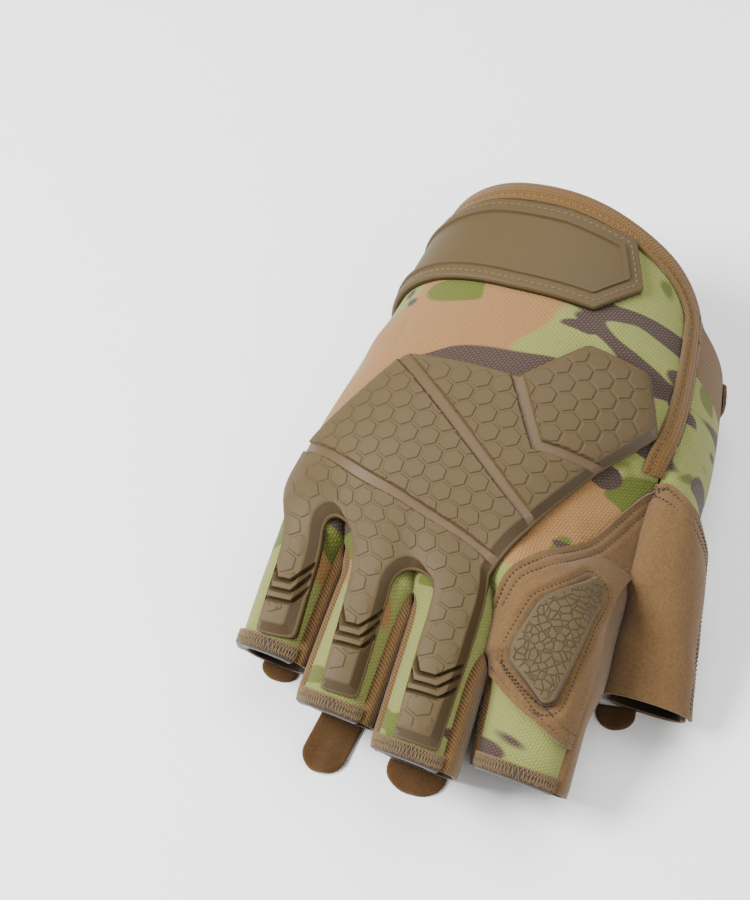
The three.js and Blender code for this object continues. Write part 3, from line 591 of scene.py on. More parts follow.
def make_skin():
    skin = Skin()
    heel = np.linspace(1, HEEL_SHARE, HEEL_ROWS, endpoint=False)
    shares = np.concatenate([heel, np.linspace(HEEL_SHARE, 0, WRIST_ROWS, endpoint=False)])
    for side in (1, -1):
        for k in range(5):
            columns = np.linspace(0, 1, (COLUMNS if side > 0 else PALM_COLUMNS)[k] + 1)
            wrist = lerp(WRIST_Y, cuff_at(k, columns, side)[None, :], shares[:, None])
            tail = finger_rows(k)
            y = np.concatenate([wrist, np.repeat(np.array(tail)[:, None], len(columns), 1)])
            t = np.broadcast_to(columns, y.shape)
            if side > 0 and k == INDEX:
                t = np.maximum(t, slit_share(y))
            points = sheet(k, t, y, side)
            pq = chart_place(k, t, y) if side > 0 else points[:, :2]
            lift = fold_lift(pq) if side > 0 else np.zeros(len(pq))
            edge = smooth(np.minimum(t, 1 - t).ravel() * EDGE_RAMP) if k in (THUMB, LITTLE) else 1
            on_finger = len(shares) + tail.index(CROTCH[0])

            def part(i, k=k, side=side, on_finger=on_finger):
                if side < 0:
                    return "palm"
                if k != THUMB:
                    return "back"
                return "heel" if i < HEEL_ROWS else "gusset" if i < on_finger else "thumb back"

            skin.add(points, pq, (lift * edge).reshape(y.shape), side < 0, part)
    for b, root in enumerate(CROTCH):
        for left in (True, False):
            ys = np.array([y for y in finger_rows(b if left else b + 1) if y <= root])
            t, y = np.meshgrid(np.linspace(0, 1, WEB_COLUMNS + 1), ys)
            roll = RIB_ROLL["left" if left else "right"] * np.sin(math.pi * t**0.5)
            roll = roll * smooth((root - y) / RIB_ROLL["rise"] + RIB_ROLL["first"])
            roll = roll * (1 - smooth((ys[-1] + RIB_ROLL["before_end"] - y) / RIB_ROLL["fall"]))
            down = WALL_CLOTH["down"] * t
            slant = WALL_CLOTH["slant"] if left else -WALL_CLOTH["slant"]
            skin.add(
                web_point(b, left, t, y),
                np.stack([y - slant * down, down], -1),
                roll if b else 0.5 * roll,
                not left,
                lambda i, b=b: f"web {b}",
            )
    skin.weld()
    return skin


def segments(line, closed=False):
    a = np.asarray(line, float)
    b = np.roll(a, -1, axis=0)
    return (a, b) if closed else (a[:-1], b[:-1])


def line_distance(line, points, closed=False):
    """Distance of points to a polyline in the plane."""
    a, b = segments(line, closed)
    best = np.full(len(points), 1e9)
    for start, end in zip(a, b):
        d = end - start
        s = np.clip(((points - start) @ d) / max(d @ d, 1e-12), 0, 1)
        best = np.minimum(best, np.hypot(*(points - start - s[:, None] * d).T))
    return best


def inside(outline, points):
    a, b = segments(outline, True)
    crossed = np.zeros(len(points), bool)
    x, y = points[:, 0], points[:, 1]
    for (ax, ay), (bx, by) in zip(a, b):
        if ay != by:
            spans = (ay > y) != (by > y)
            crossed ^= spans & (x < ax + (y - ay) * (bx - ax) / (by - ay))
    return crossed


def divided(line, step, closed=False):
    """The polyline with its longer segments divided, and its points in order."""
    a, b = segments(line, closed)
    points = []
    for start, end in zip(a, b):
        n = max(1, math.ceil(np.hypot(*(end - start)) / step))
        points += [start + (end - start) * i / n for i in range(n)]
    if not closed:
        points.append(np.asarray(line[-1], float))
    return np.array(points)


def spaced(line, step, closed=False):
    """Points at an even step along a polyline."""
    a, b = segments(line, closed)
    length = np.concatenate([[0], np.cumsum(np.hypot(*(b - a).T))])
    n = max(2, round(length[-1] / step))
    at = np.linspace(0, length[-1], n + 1)[: n if closed else n + 1]
    nodes = np.concatenate([a, b[-1:]])
    return np.stack([np.interp(at, length, nodes[:, i]) for i in (0, 1)], -1)


def rounded(outline, radius, n=4, least=25):
    """A closed outline with its sharper corners replaced by arcs; least is in degrees."""
    points = np.asarray(outline, float)
    made = []
    for i, corner in enumerate(points):
        before, after = points[i - 1] - corner, points[(i + 1) % len(points)] - corner
        la, lb = np.hypot(*before), np.hypot(*after)
        u, v = before / la, after / lb
        turn = math.pi - math.acos(np.clip(u @ v, -1, 1))
        if turn < math.radians(least):
            made.append(corner)
            continue
        reach = min(radius * math.tan(turn / 2), 0.45 * la, 0.45 * lb)
        for s in np.linspace(0, 1, n + 1):
            made.append(corner + reach * (u * (1 - s) ** 2 + v * s**2))
    return np.array(made)


def drawn_in(outline, width):
    """A closed anticlockwise outline drawn in; width is a number or a function of the normal."""
    points = np.asarray(outline, float)
    made = []
    for i, corner in enumerate(points):
        u = unit(corner - points[i - 1])
        v = unit(points[(i + 1) % len(points)] - corner)
        nu, nv = np.array([-u[1], u[0]]), np.array([-v[1], v[0]])
        wu, wv = (width(-nu), width(-nv)) if callable(width) else (width, width)
        cross = u[0] * v[1] - u[1] * v[0]
        if abs(cross) < 0.45:
            middle = unit(nu + nv)
            w = width(-middle) if callable(width) else width
            made.append(corner + middle * w / max(middle @ nu, 0.5))
        else:
            gap = nv * wv - nu * wu
            made.append(corner + nu * wu + u * (gap[0] * v[1] - gap[1] * v[0]) / cross)
    return np.array(made)


def step_height(levels, points):
    """Height over nested outlines, sloping evenly from each (outline, height) to the next."""
    height = np.full(len(points), levels[0][1], float)
    for (outer, low), (inner, high) in zip(levels, levels[1:]):
        here = inside(outer, points)
        a = line_distance(outer, points[here], True)
        b = line_distance(inner, points[here], True)
        within = inside(inner, points[here])
        height[here] = np.where(within, high, lerp(low, high, a / np.maximum(a + b, 1e-9)))
    return height


CREASE = 13


def rings(outline, *rows):
    """Levels of a plate from rows of how far in, corner radius and height."""
    return [(rounded(drawn_in(outline, way), corner), height) for way, corner, height in rows]


def plate(outline, lines, height, base, spacing, lay=drape):
    """A draped plate: its outline and feature lines on the chart, and its height over them."""
    points, edges = [], []

    def add(line, closed):
        start = len(points)
        points.extend(line.tolist())
        n = len(line)
        edges.extend((start + i, start + (i + 1) % n) for i in range(n if closed else n - 1))

    add(divided(outline, spacing, True), True)
    for line, closed in lines:
        add(divided(line, spacing, closed), closed)
    low, high = np.min(outline, 0), np.max(outline, 0)
    rows = np.arange(low[1], high[1], spacing * 0.87)
    columns = np.arange(low[0], high[0], spacing)
    grid = np.array([(x + spacing * 0.5 * (i % 2), y) for i, y in enumerate(rows) for x in columns])
    grid = grid[inside(outline, grid)]
    grid = grid[line_distance(outline, grid, True) > 0.4 * spacing]
    points += grid.tolist()
    made = delaunay_2d_cdt([Vector(p) for p in points], edges, [], 0, 1e-5, False)
    flat = np.array([tuple(v) for v in made[0]])
    faces = np.array(made[2])
    faces = faces[inside(outline, flat[faces].mean(1))]
    used, faces = np.unique(faces, return_inverse=True)
    faces = faces.reshape(-1, 3)
    flat = flat[used]
    a, b, c = (flat[faces[:, i]] for i in range(3))
    area = (b[:, 0] - a[:, 0]) * (c[:, 1] - a[:, 1]) - (b[:, 1] - a[:, 1]) * (c[:, 0] - a[:, 0])
    faces = np.where(area[:, None] < 0, faces[:, ::-1], faces)
    pairs = np.concatenate([faces[:, [i, (i + 1) % 3]] for i in range(3)])
    known = {tuple(p) for p in pairs.tolist()}
    rim = np.array([p for p in pairs.tolist() if (p[1], p[0]) not in known])
    n = len(flat)
    tall = height(flat)
    co = np.concatenate([lay(flat, tall), lay(flat, np.full(n, base))])
    sides = np.stack([rim[:, 1], rim[:, 0], rim[:, 0] + n, rim[:, 1] + n], -1)
    all_faces = [*faces.tolist(), *(faces[:, ::-1] + n).tolist(), *sides.tolist()]
    creases = np.concatenate([creased(np.column_stack([flat, tall]), faces), rim])
    return co, all_faces, np.concatenate([flat, flat]), flat[faces].mean(1), creases


def creased(points, faces):
    """The edges of flat triangles whose slopes differ by more than CREASE degrees."""
    a, b, c = (points[faces[:, i]] for i in range(3))
    facing = unit(np.cross(b - a, c - a))
    edges = np.sort(np.concatenate([faces[:, [i, (i + 1) % 3]] for i in range(3)]), axis=1)
    owner = np.tile(np.arange(len(faces)), 3)
    order = np.lexsort(edges.T)
    edges, owner = edges[order], owner[order]
    twin = np.flatnonzero((edges[1:] == edges[:-1]).all(1))
    turn = (facing[owner[twin]] * facing[owner[twin + 1]]).sum(1)
    return edges[twin[turn < math.cos(math.radians(CREASE))]]


class Wire:
    """A shader socket whose Python operators add Math nodes."""

    def __init__(self, paint, socket):
        self.paint, self.socket = paint, socket

    def maths(self, operation, other=None, first=None):
        node = self.paint.tree.nodes.new("ShaderNodeMath")
        node.operation = operation
        values = [v for v in (first, self, other) if v is not None]
        for i, v in enumerate(values):
            self.paint.feed(node.inputs[i], v)
        return Wire(self.paint, node.outputs[0])

    def __add__(self, other):
        return self.maths("ADD", other)

    def __radd__(self, other):
        return self.maths("ADD", first=other)

    def __sub__(self, other):
        return self.maths("SUBTRACT", other)

    def __rsub__(self, other):
        return self.maths("SUBTRACT", first=other)

    def __mul__(self, other):
        return self.maths("MULTIPLY", other)

    def __rmul__(self, other):
        return self.maths("MULTIPLY", first=other)

    def __truediv__(self, other):
        return self.maths("DIVIDE", other)

    def __pow__(self, other):
        return self.maths("POWER", other)

    def __abs__(self):
        return self.maths("ABSOLUTE")

    def sine(self):
        return self.maths("SINE")

    def clamped(self):
        return self.paint.node("ShaderNodeClamp", {}, {0: self})

    def over(self, level, width):
        """0 below level and 1 above it, with an edge of that width."""
        return ((self - (level - width / 2)) / width).clamped()

    def ridge(self, period):
        """Rounded ridges with narrow grooves between them, from 0 to 1."""
        return abs((self * (math.pi / period)).sine()) ** 0.6


class Paint:
    """A material under construction: nodes are added by type, settings and values."""

    def __init__(self, name, **constants):
        self.material = bpy.data.materials.new(name)
        self.material.use_nodes = True
        self.tree = self.material.node_tree
        self.tree.nodes.clear()
        self.shader = self.tree.nodes.new("ShaderNodeBsdfPrincipled")
        out = self.tree.nodes.new("ShaderNodeOutputMaterial")
        self.tree.links.new(self.shader.outputs[0], out.inputs[0])
        for key, value in constants.items():
            self.shader.inputs[key.replace("_", " ").title().replace("Ior", "IOR")].default_value = value
        self.place = self.tree.nodes.new("ShaderNodeTexCoord")

    def feed(self, socket, value):
        if isinstance(value, Wire):
            self.tree.links.new(value.socket, socket)
        elif hasattr(socket, "default_value"):
            size = len(socket.default_value) if hasattr(socket.default_value, "__len__") else 0
            socket.default_value = (*value, 1.0)[:size] if size else value

    def node(self, kind, settings, values, output=0):
        made = self.tree.nodes.new(kind)
        for key, value in settings.items():
            setattr(made, key, value)
        for key, value in values.items():
            self.feed(made.inputs[key], value)
        return Wire(self, made.outputs[output])

    @property
    def spot(self):
        return Wire(self, self.place.outputs["Object"])

    @property
    def cloth(self):
        return Wire(self, self.place.outputs["UV"])

    def parts(self, vector):
        node = self.tree.nodes.new("ShaderNodeSeparateXYZ")
        self.feed(node.inputs[0], vector)
        return [Wire(self, node.outputs[i]) for i in range(3)]

    def vector(self, x, y, z=0.0):
        return self.node("ShaderNodeCombineXYZ", {}, {0: x, 1: y, 2: z})

    def noise(self, vector, scale, detail=2.0, rough=0.5, twist=0.0):
        values = {"Vector": vector, "Scale": scale, "Detail": detail}
        values |= {"Roughness": rough, "Distortion": twist}
        return self.node("ShaderNodeTexNoise", {"noise_dimensions": "3D"}, values)

    def mix(self, amount, a, b):
        return self.node("ShaderNodeMix", {"data_type": "RGBA"}, {0: amount, 6: a, 7: b}, 2)

    def shade(self, colour, amount):
        """The colour made darker or lighter by a value round 1."""
        settings = {"data_type": "RGBA", "blend_type": "MULTIPLY"}
        level = self.vector(amount, amount, amount)
        return self.node("ShaderNodeMix", settings, {0: 1.0, 6: colour, 7: level}, 2)

    def finish(self, colour, roughness, height, depth, strength=1.0):
        self.feed(self.shader.inputs["Base Color"], colour)
        self.feed(self.shader.inputs["Roughness"], roughness)
        values = {"Strength": strength, "Distance": depth * MM, "Height": height}
        bump = self.node("ShaderNodeBump", {}, values)
        self.feed(self.shader.inputs["Normal"], bump)
        return self.material


def camo_mesh(c):
    """Printed knit: soft ground colours, sharp dark patches, and slanted knit dashes."""
    paint = Paint("camo_mesh", specular_ior_level=0.2, sheen_weight=0.1, sheen_roughness=0.5)
    u, v, _ = paint.parts(paint.cloth)

    def patch(width, height, shift, level, edge, twist):
        spot = paint.vector(u / width + shift, v / height, shift)
        return paint.noise(spot, 1.0, 1.2, 0.35, twist).over(level, edge)

    fingers = ((v + 26) * -0.08).clamped()
    ground = paint.mix(patch(52.0, 30.0, 3.7, fingers * 0.16 + 0.53, 0.02, 0.3), c.camo_green, c.camo_tan)
    ground = paint.mix(patch(27.0, 19.0, 31.0, 0.635, 0.02, 0.4), ground, c.camo_olive)
    ground = paint.mix(patch(24.0, 13.0, 8.3, 0.72, 0.02, 0.2), ground, c.camo_pale)
    dark = patch(46.0, 17.0, 5.6, fingers * 0.09 + 0.57, 0.015, 0.6)
    spots = patch(19.0, 13.0, 21.7, fingers * 0.1 + 0.66, 0.02, 0.2)
    dark = (dark + spots).clamped()
    ground = paint.mix(dark, ground, c.camo_brown)
    across = ((0.77 * u - 0.64 * v) * (2 * math.pi / 0.95)).sine()
    along = ((0.64 * u + 0.77 * v) * (2 * math.pi / 2.3)).sine()
    knit = (across * along * 1.6).clamped()
    fuzz = paint.noise(paint.vector(u, v), 2.6, 2.0)
    colour = paint.mix(knit * (0.06 + 0.03 * dark), ground, c.camo_pale)
    colour = paint.shade(colour, 0.88 + 0.15 * knit + 0.3 * (fuzz - 0.4))
    return paint.finish(colour, 0.9, knit + fuzz * 0.4, 0.3, 0.7)


def ribbed_cloth(c):
    paint = Paint("ribbed_cloth", roughness=0.85, specular_ior_level=0.2, sheen_weight=0.15)
    u, v, _ = paint.parts(paint.cloth)
    rib = u.ridge(c.rib_pitch / MM)
    fuzz = paint.noise(paint.vector(u, v), 1.6, 2.0)
    # The grooves between ribs are painted darker as painted shade.
    colour = paint.shade(paint.mix(rib, c.rib_groove_painted_shade, c.rib), 0.8 + 0.4 * fuzz)
    return paint.finish(colour, 0.85, rib + 0.2 * fuzz, 0.45, 0.8)


def suede(c, name="suede", colour=None):
    paint = Paint(name, specular_ior_level=0.15, sheen_weight=0.12, sheen_roughness=0.5)
    nap = paint.noise(paint.spot, 2900.0, 3.0, 0.8)
    grain = paint.noise(paint.spot, 900.0, 3.0, 0.6)
    patch = paint.noise(paint.spot, 60.0, 2.0)
    tone = 1.0 + 1.5 * (nap - 0.5) + 0.5 * (grain - 0.5) + 0.2 * (patch - 0.5)
    made = paint.shade(colour or c.suede, tone)
    return paint.finish(made, 0.95, 0.6 * nap + 0.5 * grain, 0.22, 0.6)


# The lining material also paints the shadow line round the index pad.
def lining_and_painted_shadow(c):
    paint = Paint("lining_and_painted_shadow", specular_ior_level=0.1, sheen_weight=0.2)
    nap = paint.noise(paint.spot, 1200.0, 3.0, 0.7)
    return paint.finish(paint.shade(c.lining_and_painted_shadow, 0.6 + 0.8 * nap), 0.95, nap, 0.3, 0.6)


def rubber(c, name="rubber", colour=None, roughness=0.62):
    paint = Paint(name, specular_ior_level=0.25)
    grain = paint.noise(paint.spot, 2600.0, 2.0, 0.6)
    patch = paint.noise(paint.spot, 45.0, 2.0)
    made = paint.shade(colour or c.rubber, 0.93 + 0.1 * patch + 0.05 * grain)
    return paint.finish(made, roughness + 0.1 * (patch - 0.5), grain, 0.05, 0.35)


def pebbled_rubber(c):
    """Flat stones with thin grooves between them, and the grooves are painted darker as painted shade."""
    paint = Paint("rubber_pebbles", specular_ior_level=0.25)
    u, v, _ = paint.parts(paint.cloth)
    values = {"Vector": paint.vector(u, v), "Scale": 1 / PEBBLE["pitch"], "Randomness": 0.85}
    edge = paint.node("ShaderNodeTexVoronoi", {"feature": "DISTANCE_TO_EDGE"}, values)
    stone = edge.over(0.5 * PEBBLE["groove"], PEBBLE["groove"])
    grain = paint.noise(paint.spot, 2600.0, 2.0, 0.6)
    made = paint.shade(c.rubber, 0.62 + 0.36 * stone + 0.05 * grain)
    return paint.finish(made, 0.62, stone, PEBBLE["depth"], 1.0)


def knit_tape(c):
    paint = Paint("knit_tape", specular_ior_level=0.2, sheen_weight=0.2)
    u, v, _ = paint.parts(paint.cloth)
    rows = abs((v * (math.pi / 1.15)).sine()) ** 0.5
    slant = ((u / 0.95 + (v * (math.pi / 2.3)).sine() * 0.9) * (2 * math.pi)).sine()
    knit = rows * (0.65 + 0.35 * slant)
    fuzz = paint.noise(paint.vector(u, v), 1.8, 2.0)
    # The tape is painted darker in the grooves between its knit rows and across its slanted stitches, as
    # painted shade.
    colour = paint.shade(c.tape, 0.5 + 0.62 * knit + 0.4 * (fuzz - 0.4))
    return paint.finish(colour, 0.9, knit + 0.3 * fuzz, 0.35, 0.7)


def thread(name, colour):
    paint = Paint(name, specular_ior_level=0.3, sheen_weight=0.2)
    twist = paint.noise(paint.spot, 2500.0, 2.0)
    return paint.finish(paint.shade(colour, 0.7 + 0.6 * twist), 0.7, twist, 0.1, 0.5)


def floor_paint(c):
    paint = Paint("floor", specular_ior_level=0.1)
    speck = paint.noise(paint.spot, 40.0, 2.0)
    return paint.finish(paint.shade(c.floor, 0.99 + 0.02 * speck), 0.9, speck, 0.01, 0.1)


MATERIALS = {
    "camo": camo_mesh,
    "ribbed": ribbed_cloth,
    "suede": suede,
    # The pull tabs' suede is painted darker, as painted shade.
    "painted shade suede": lambda c: suede(c, "painted_shade_suede", c.tab),
    "lining_and_painted_shadow": lining_and_painted_shadow,
    "rubber": rubber,
    "pebbles": pebbled_rubber,
    # Channel floors: a lighter colour as painted reflection, and a lower roughness.
    "channel": lambda c: rubber(c, "rubber_channel_painted_reflection", c.channel, 0.4),
    # The chamfers are painted darker, as painted shade.
    "chamfer": lambda c: rubber(c, "rubber_chamfer_painted_shade", c.chamfer, 0.45),
    "tape": knit_tape,
    "overlock": lambda c: thread("overlock_thread", c.overlock),
    "overlock band": lambda c: thread("overlock_band", c.overlock_band),
    "brown thread": lambda c: thread("brown_thread", c.suede_thread),
    "beige thread": lambda c: thread("beige_thread", c.beige_thread),
    "floor": floor_paint,
}
MADE = {}


def material(name):
    if name not in MADE:
        MADE[name] = MATERIALS[name](bpy.context.scene.glove_finish)
    return MADE[name]


def placed(name, data):
    """A new object of the scene."""
    made = bpy.data.objects.new(name, data)
    bpy.context.scene.collection.objects.link(made)
    return made


def make_mesh(name, co, faces, materials, uv=None, kinds=None, sharp=180, creases=None):
    """A mesh object in metres; sharp is the angle, and creases the edges, that split the shading."""
    mesh = bpy.data.meshes.new(name)
    metres = (np.asarray(co) - MIDDLE) * MM
    mesh.from_pydata(metres.tolist(), [], [list(dict.fromkeys(f)) for f in faces])
    for m in materials:
        mesh.materials.append(material(m))
    if kinds is not None:
        mesh.polygons.foreach_set("material_index", np.array(kinds, np.int32))
    if uv is not None:
        layer = mesh.uv_layers.new(name="cloth")
        loops = np.zeros(len(mesh.loops), np.int32)
        mesh.loops.foreach_get("vertex_index", loops)
        layer.data.foreach_set("uv", np.asarray(uv)[loops].astype(np.float32).ravel())
    mesh.shade_smooth()
    if sharp < 180:
        mesh.set_sharp_from_angle(angle=math.radians(sharp))
    if creases is not None:
        ends = np.zeros(2 * len(mesh.edges), np.int32)
        mesh.edges.foreach_get("vertices", ends)
        ends = np.sort(ends.reshape(-1, 2), axis=1) @ [len(mesh.vertices), 1]
        marked = np.sort(creases, axis=1) @ [len(mesh.vertices), 1]
        mark = mesh.attributes.new("sharp_edge", "BOOLEAN", "EDGE")
        mark.data.foreach_set("value", np.isin(ends, marked))
    mesh.update()
    return placed(name, mesh)


def fit(piece, slot, *nodes):
    """Fixes a finished piece on the glove, for the CAD nodes that it stands for."""
    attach(piece, "root")
    if nodes:
        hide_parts(*nodes)
    return piece


def grown_tree(name, sizes, kinds, settings, joins):
    """A node tree from kinds and settings by node, and from joins: node, output, node, input."""
    tree = bpy.data.node_groups.new(name, "GeometryNodeTree")
    tree.interface.new_socket("Geometry", in_out="INPUT", socket_type="NodeSocketGeometry")
    for size in sizes:
        tree.interface.new_socket(size, in_out="INPUT", socket_type="NodeSocketFloat")
    tree.interface.new_socket("Thread", in_out="INPUT", socket_type="NodeSocketMaterial")
    tree.interface.new_socket("Geometry", in_out="OUTPUT", socket_type="NodeSocketGeometry")
    ends = {"given": "NodeGroupInput", "out": "NodeGroupOutput", "line": "GeometryNodeMeshToCurve"}
    ends |= {"real": "GeometryNodeRealizeInstances", "coat": "GeometryNodeSetMaterial"}
    nodes = {label: tree.nodes.new(kind) for label, kind in {**ends, **kinds}.items()}
    for label, key, value in settings:
        setattr(nodes[label], key, value)
    common = (
        ("given", "Geometry", "line", 0),
        ("real", 0, "coat", "Geometry"),
        ("given", "Thread", "coat", "Material"),
        ("coat", 0, "out", 0),
    )
    for start, output, end, socket in (*common, *joins):
        tree.links.new(nodes[start].outputs[output], nodes[end].inputs[socket])
    return tree, nodes


def stitch_tree():
    """Round stitches at an even pitch along lines."""
    kinds = {
        "even": "GeometryNodeResampleCurve",
        "bead": "GeometryNodeMeshUVSphere",
        "soft": "GeometryNodeSetShadeSmooth",
        "place": "GeometryNodeInstanceOnPoints",
        "tangent": "GeometryNodeInputTangent",
        "turn": "FunctionNodeAlignRotationToVector",
        "half": "ShaderNodeMath",
        "size": "ShaderNodeCombineXYZ",
    }
    joins = (
        ("line", 0, "even", "Curve"),
        ("given", "Pitch", "even", "Length"),
        ("even", 0, "place", "Points"),
        ("bead", "Mesh", "soft", 0),
        ("soft", 0, "place", "Instance"),
        ("tangent", 0, "turn", "Vector"),
        ("turn", 0, "place", "Rotation"),
        ("given", "Length", "half", 0),
        ("half", 0, "size", 0),
        ("given", "Radius", "size", 1),
        ("given", "Radius", "size", 2),
        ("size", 0, "place", "Scale"),
        ("place", 0, "real", 0),
    )
    settings = (("even", "mode", "LENGTH"), ("turn", "axis", "X"), ("half", "operation", "MULTIPLY"))
    tree, nodes = grown_tree("stitch_row", ("Pitch", "Length", "Radius"), kinds, settings, joins)
    nodes["half"].inputs[1].default_value = 0.5
    for socket, value in (("Segments", 8), ("Rings", 5), ("Radius", 1.0)):
        nodes["bead"].inputs[socket].default_value = value
    return tree


def cord_tree():
    """A round thread that follows lines."""
    kinds = {"ring": "GeometryNodeCurvePrimitiveCircle", "tube": "GeometryNodeCurveToMesh"}
    joins = (
        ("given", "Radius", "ring", "Radius"),
        ("line", 0, "tube", "Curve"),
        ("ring", 0, "tube", "Profile Curve"),
        ("tube", 0, "real", 0),
    )
    tree, nodes = grown_tree("thread_line", ("Radius",), kinds, (), joins)
    nodes["ring"].inputs["Resolution"].default_value = 5
    nodes["tube"].inputs["Fill Caps"].default_value = True
    return tree


TREES = {"stitches": stitch_tree, "thread": cord_tree}
GROWN = {}
OVER_FLOOR = 0.2


def sewn(name, kind, lines, thread_name, **sizes):
    """A mesh of stitches or thread along lines, each given as points and whether it is closed."""
    co, edges = [], []
    for line, closed in lines:
        start = len(co)
        line = np.array(line)
        line[:, 2] = np.maximum(line[:, 2], sizes["radius"] + OVER_FLOOR)
        co += ((line - MIDDLE) * MM).tolist()
        n = len(line)
        edges += [(start + i, start + (i + 1) % n) for i in range(n if closed else n - 1)]
    mesh = bpy.data.meshes.new(name + "_lines")
    mesh.from_pydata(co, edges, [])
    seed = placed(name + "_lines", mesh)
    if kind not in GROWN:
        GROWN[kind] = TREES[kind]()
    grow = seed.modifiers.new(kind, "NODES")
    grow.node_group = GROWN[kind]
    sockets = {i.name: i.identifier for i in grow.node_group.interface.items_tree if i.in_out == "INPUT"}
    for key, value in sizes.items():
        grow[sockets[key.title()]] = value * MM
    grow[sockets["Thread"]] = material(thread_name)
    bpy.context.view_layer.update()
    seen = seed.evaluated_get(bpy.context.evaluated_depsgraph_get())
    grown = bpy.data.meshes.new_from_object(seen)
    grown.name = name
    made = placed(name, grown)
    bpy.data.objects.remove(seed)
    if not len(grown.polygons):
        raise RuntimeError(name + " has no stitches")
    return made


# The suede saddle over the index finger and thumb: its upper edge, the row where the two parts
# meet, and its lower edge, by s = finger number + share across its strip
SADDLE = table(
    "s top joint bottom",
    (0, 4.5, -14, -41),
    (0.2, 6.5, -14, -41),
    (0.45, 9.5, -14, -41),
    (0.7, 13.5, -14, -41),
    (1, 13.5, -14, -41),
    (1, 13.5, -14, -65),
    (1.2, 5, -18, -65),
    (1.4, -13, -27, -63),
    (1.6, -25, -34, -60.5),
    (1.8, -32, -38, -57.5),
    (1.98, -39, -44, -54),
)
PAD_OUTLINE = [
    (40.4, -41),
    (37.0, -53.5),
    (37.6, -57),
    (49.0, -66.5),
    (51.6, -64.5),
    (57.4, -28.5),
    (56.6, -26),
    (53.4, -25.6),
]
SADDLE_COLUMNS = 44
SADDLE_UPPER_ROWS = 21
SADDLE_LOWER_ROWS = 61
SADDLE_INSETS = (1.6, 4.2)
SEWN_DIP = {"depth": 0.4, "width": 0.8}
PAD_ROW = 2.3
# The ridge and the dip of the suede round the pad: how high, how wide and how far out
PAD_RIDGE = {"height": 0.35, "width": 1.4, "out": 3.6}
PAD_DIP = {"depth": 0.85, "width": 1.2}
WANDER = {"height": 0.25, "start": 4}


def saddle_value(part, s, key):
    """A column of the saddle's table over the thumb (0) or the index finger (1)."""
    rows = SADDLE[:5] if part == THUMB else SADDLE[5:]
    return np.interp(s, [r["s"] for r in rows], [r[key] for r in rows])


def saddle_edge(part, top, n=60):
    """The saddle's upper or lower edge: shares across the finger's strip, and heights."""
    rows = SADDLE[:5] if part == THUMB else SADDLE[5:]
    s = np.linspace(rows[0]["s"], rows[-1]["s"], n)
    y = saddle_value(part, s, "top" if top else "bottom")
    soft = np.convolve(np.pad(y, 4, mode="edge"), np.ones(9) / 9, "valid")
    y = np.where((s - s[0]) * (s[-1] - s) > 0, soft, y)
    return s - part, y


def along_saddle(part, top, inset):
    """A row on the chart inside the saddle's upper or lower edge."""
    t, y = saddle_edge(part, top)
    line = chart_place(part, t, y)
    run = unit(np.gradient(line, axis=0))
    aside = np.stack([run[:, 1], -run[:, 0]], -1) * (inset if top else -inset)
    return line - aside


def saddle_lines():
    """The stitch rows of the saddle on the chart."""
    rows = []
    for inset in SADDLE_INSETS:
        upper = np.concatenate([along_saddle(k, True, inset) for k in (THUMB, INDEX)])
        rows += [(upper, False), (along_saddle(INDEX, False, inset), False)]
    rows.append((drawn_in(rounded(PAD_OUTLINE, 4), -PAD_ROW), True))
    return rows


def make_saddle():
    rows = saddle_lines()
    own = Skin()
    normals = []
    for part in (THUMB, INDEX):
        t, top = saddle_edge(part, True, SADDLE_COLUMNS)
        _, bottom = saddle_edge(part, False, SADDLE_COLUMNS)
        joint = saddle_value(part, t + part, "joint")
        upper = lerp(top, joint, np.linspace(0, 1, SADDLE_UPPER_ROWS)[:, None])
        lower = lerp(joint, bottom, np.linspace(0, 1, SADDLE_LOWER_ROWS)[1:, None])
        y = np.concatenate([upper, lower])
        t = np.broadcast_to(t, y.shape)
        pq = chart_place(part, t, y)
        lift = np.full(len(pq), LIFT + SUEDE_WALL)
        for line, closed in rows:
            near = line_distance(line, pq, closed)
            lift -= SEWN_DIP["depth"] * np.exp(-((near / SEWN_DIP["width"]) ** 2))
        edge = line_distance(PAD_OUTLINE, pq, True)
        ridge = np.exp(-(((edge - PAD_RIDGE["out"]) / PAD_RIDGE["width"]) ** 2))
        lift += PAD_RIDGE["height"] * ridge * (1 - inside(np.array(PAD_OUTLINE), pq))
        lift -= PAD_DIP["depth"] * np.exp(-((edge / PAD_DIP["width"]) ** 2))
        p, q = pq.T
        wander = WANDER["height"] * np.sin(p / 3.1 + 1.3 * np.sin(q / 4.7)) * np.sin(q / 5.3)
        lift += wander * smooth((edge - WANDER["start"]) / WANDER["start"]) if part == INDEX else wander
        own.add(sheet(part, t, y, 1), pq, lift.reshape(y.shape), False, lambda i: "saddle")
        normals.append(sheet_normal(part, t, y, 1))
    own.weld()
    own.normals[own.ids] = np.concatenate(normals)
    return own.shell(["saddle"], SUEDE_WALL, 0.0)


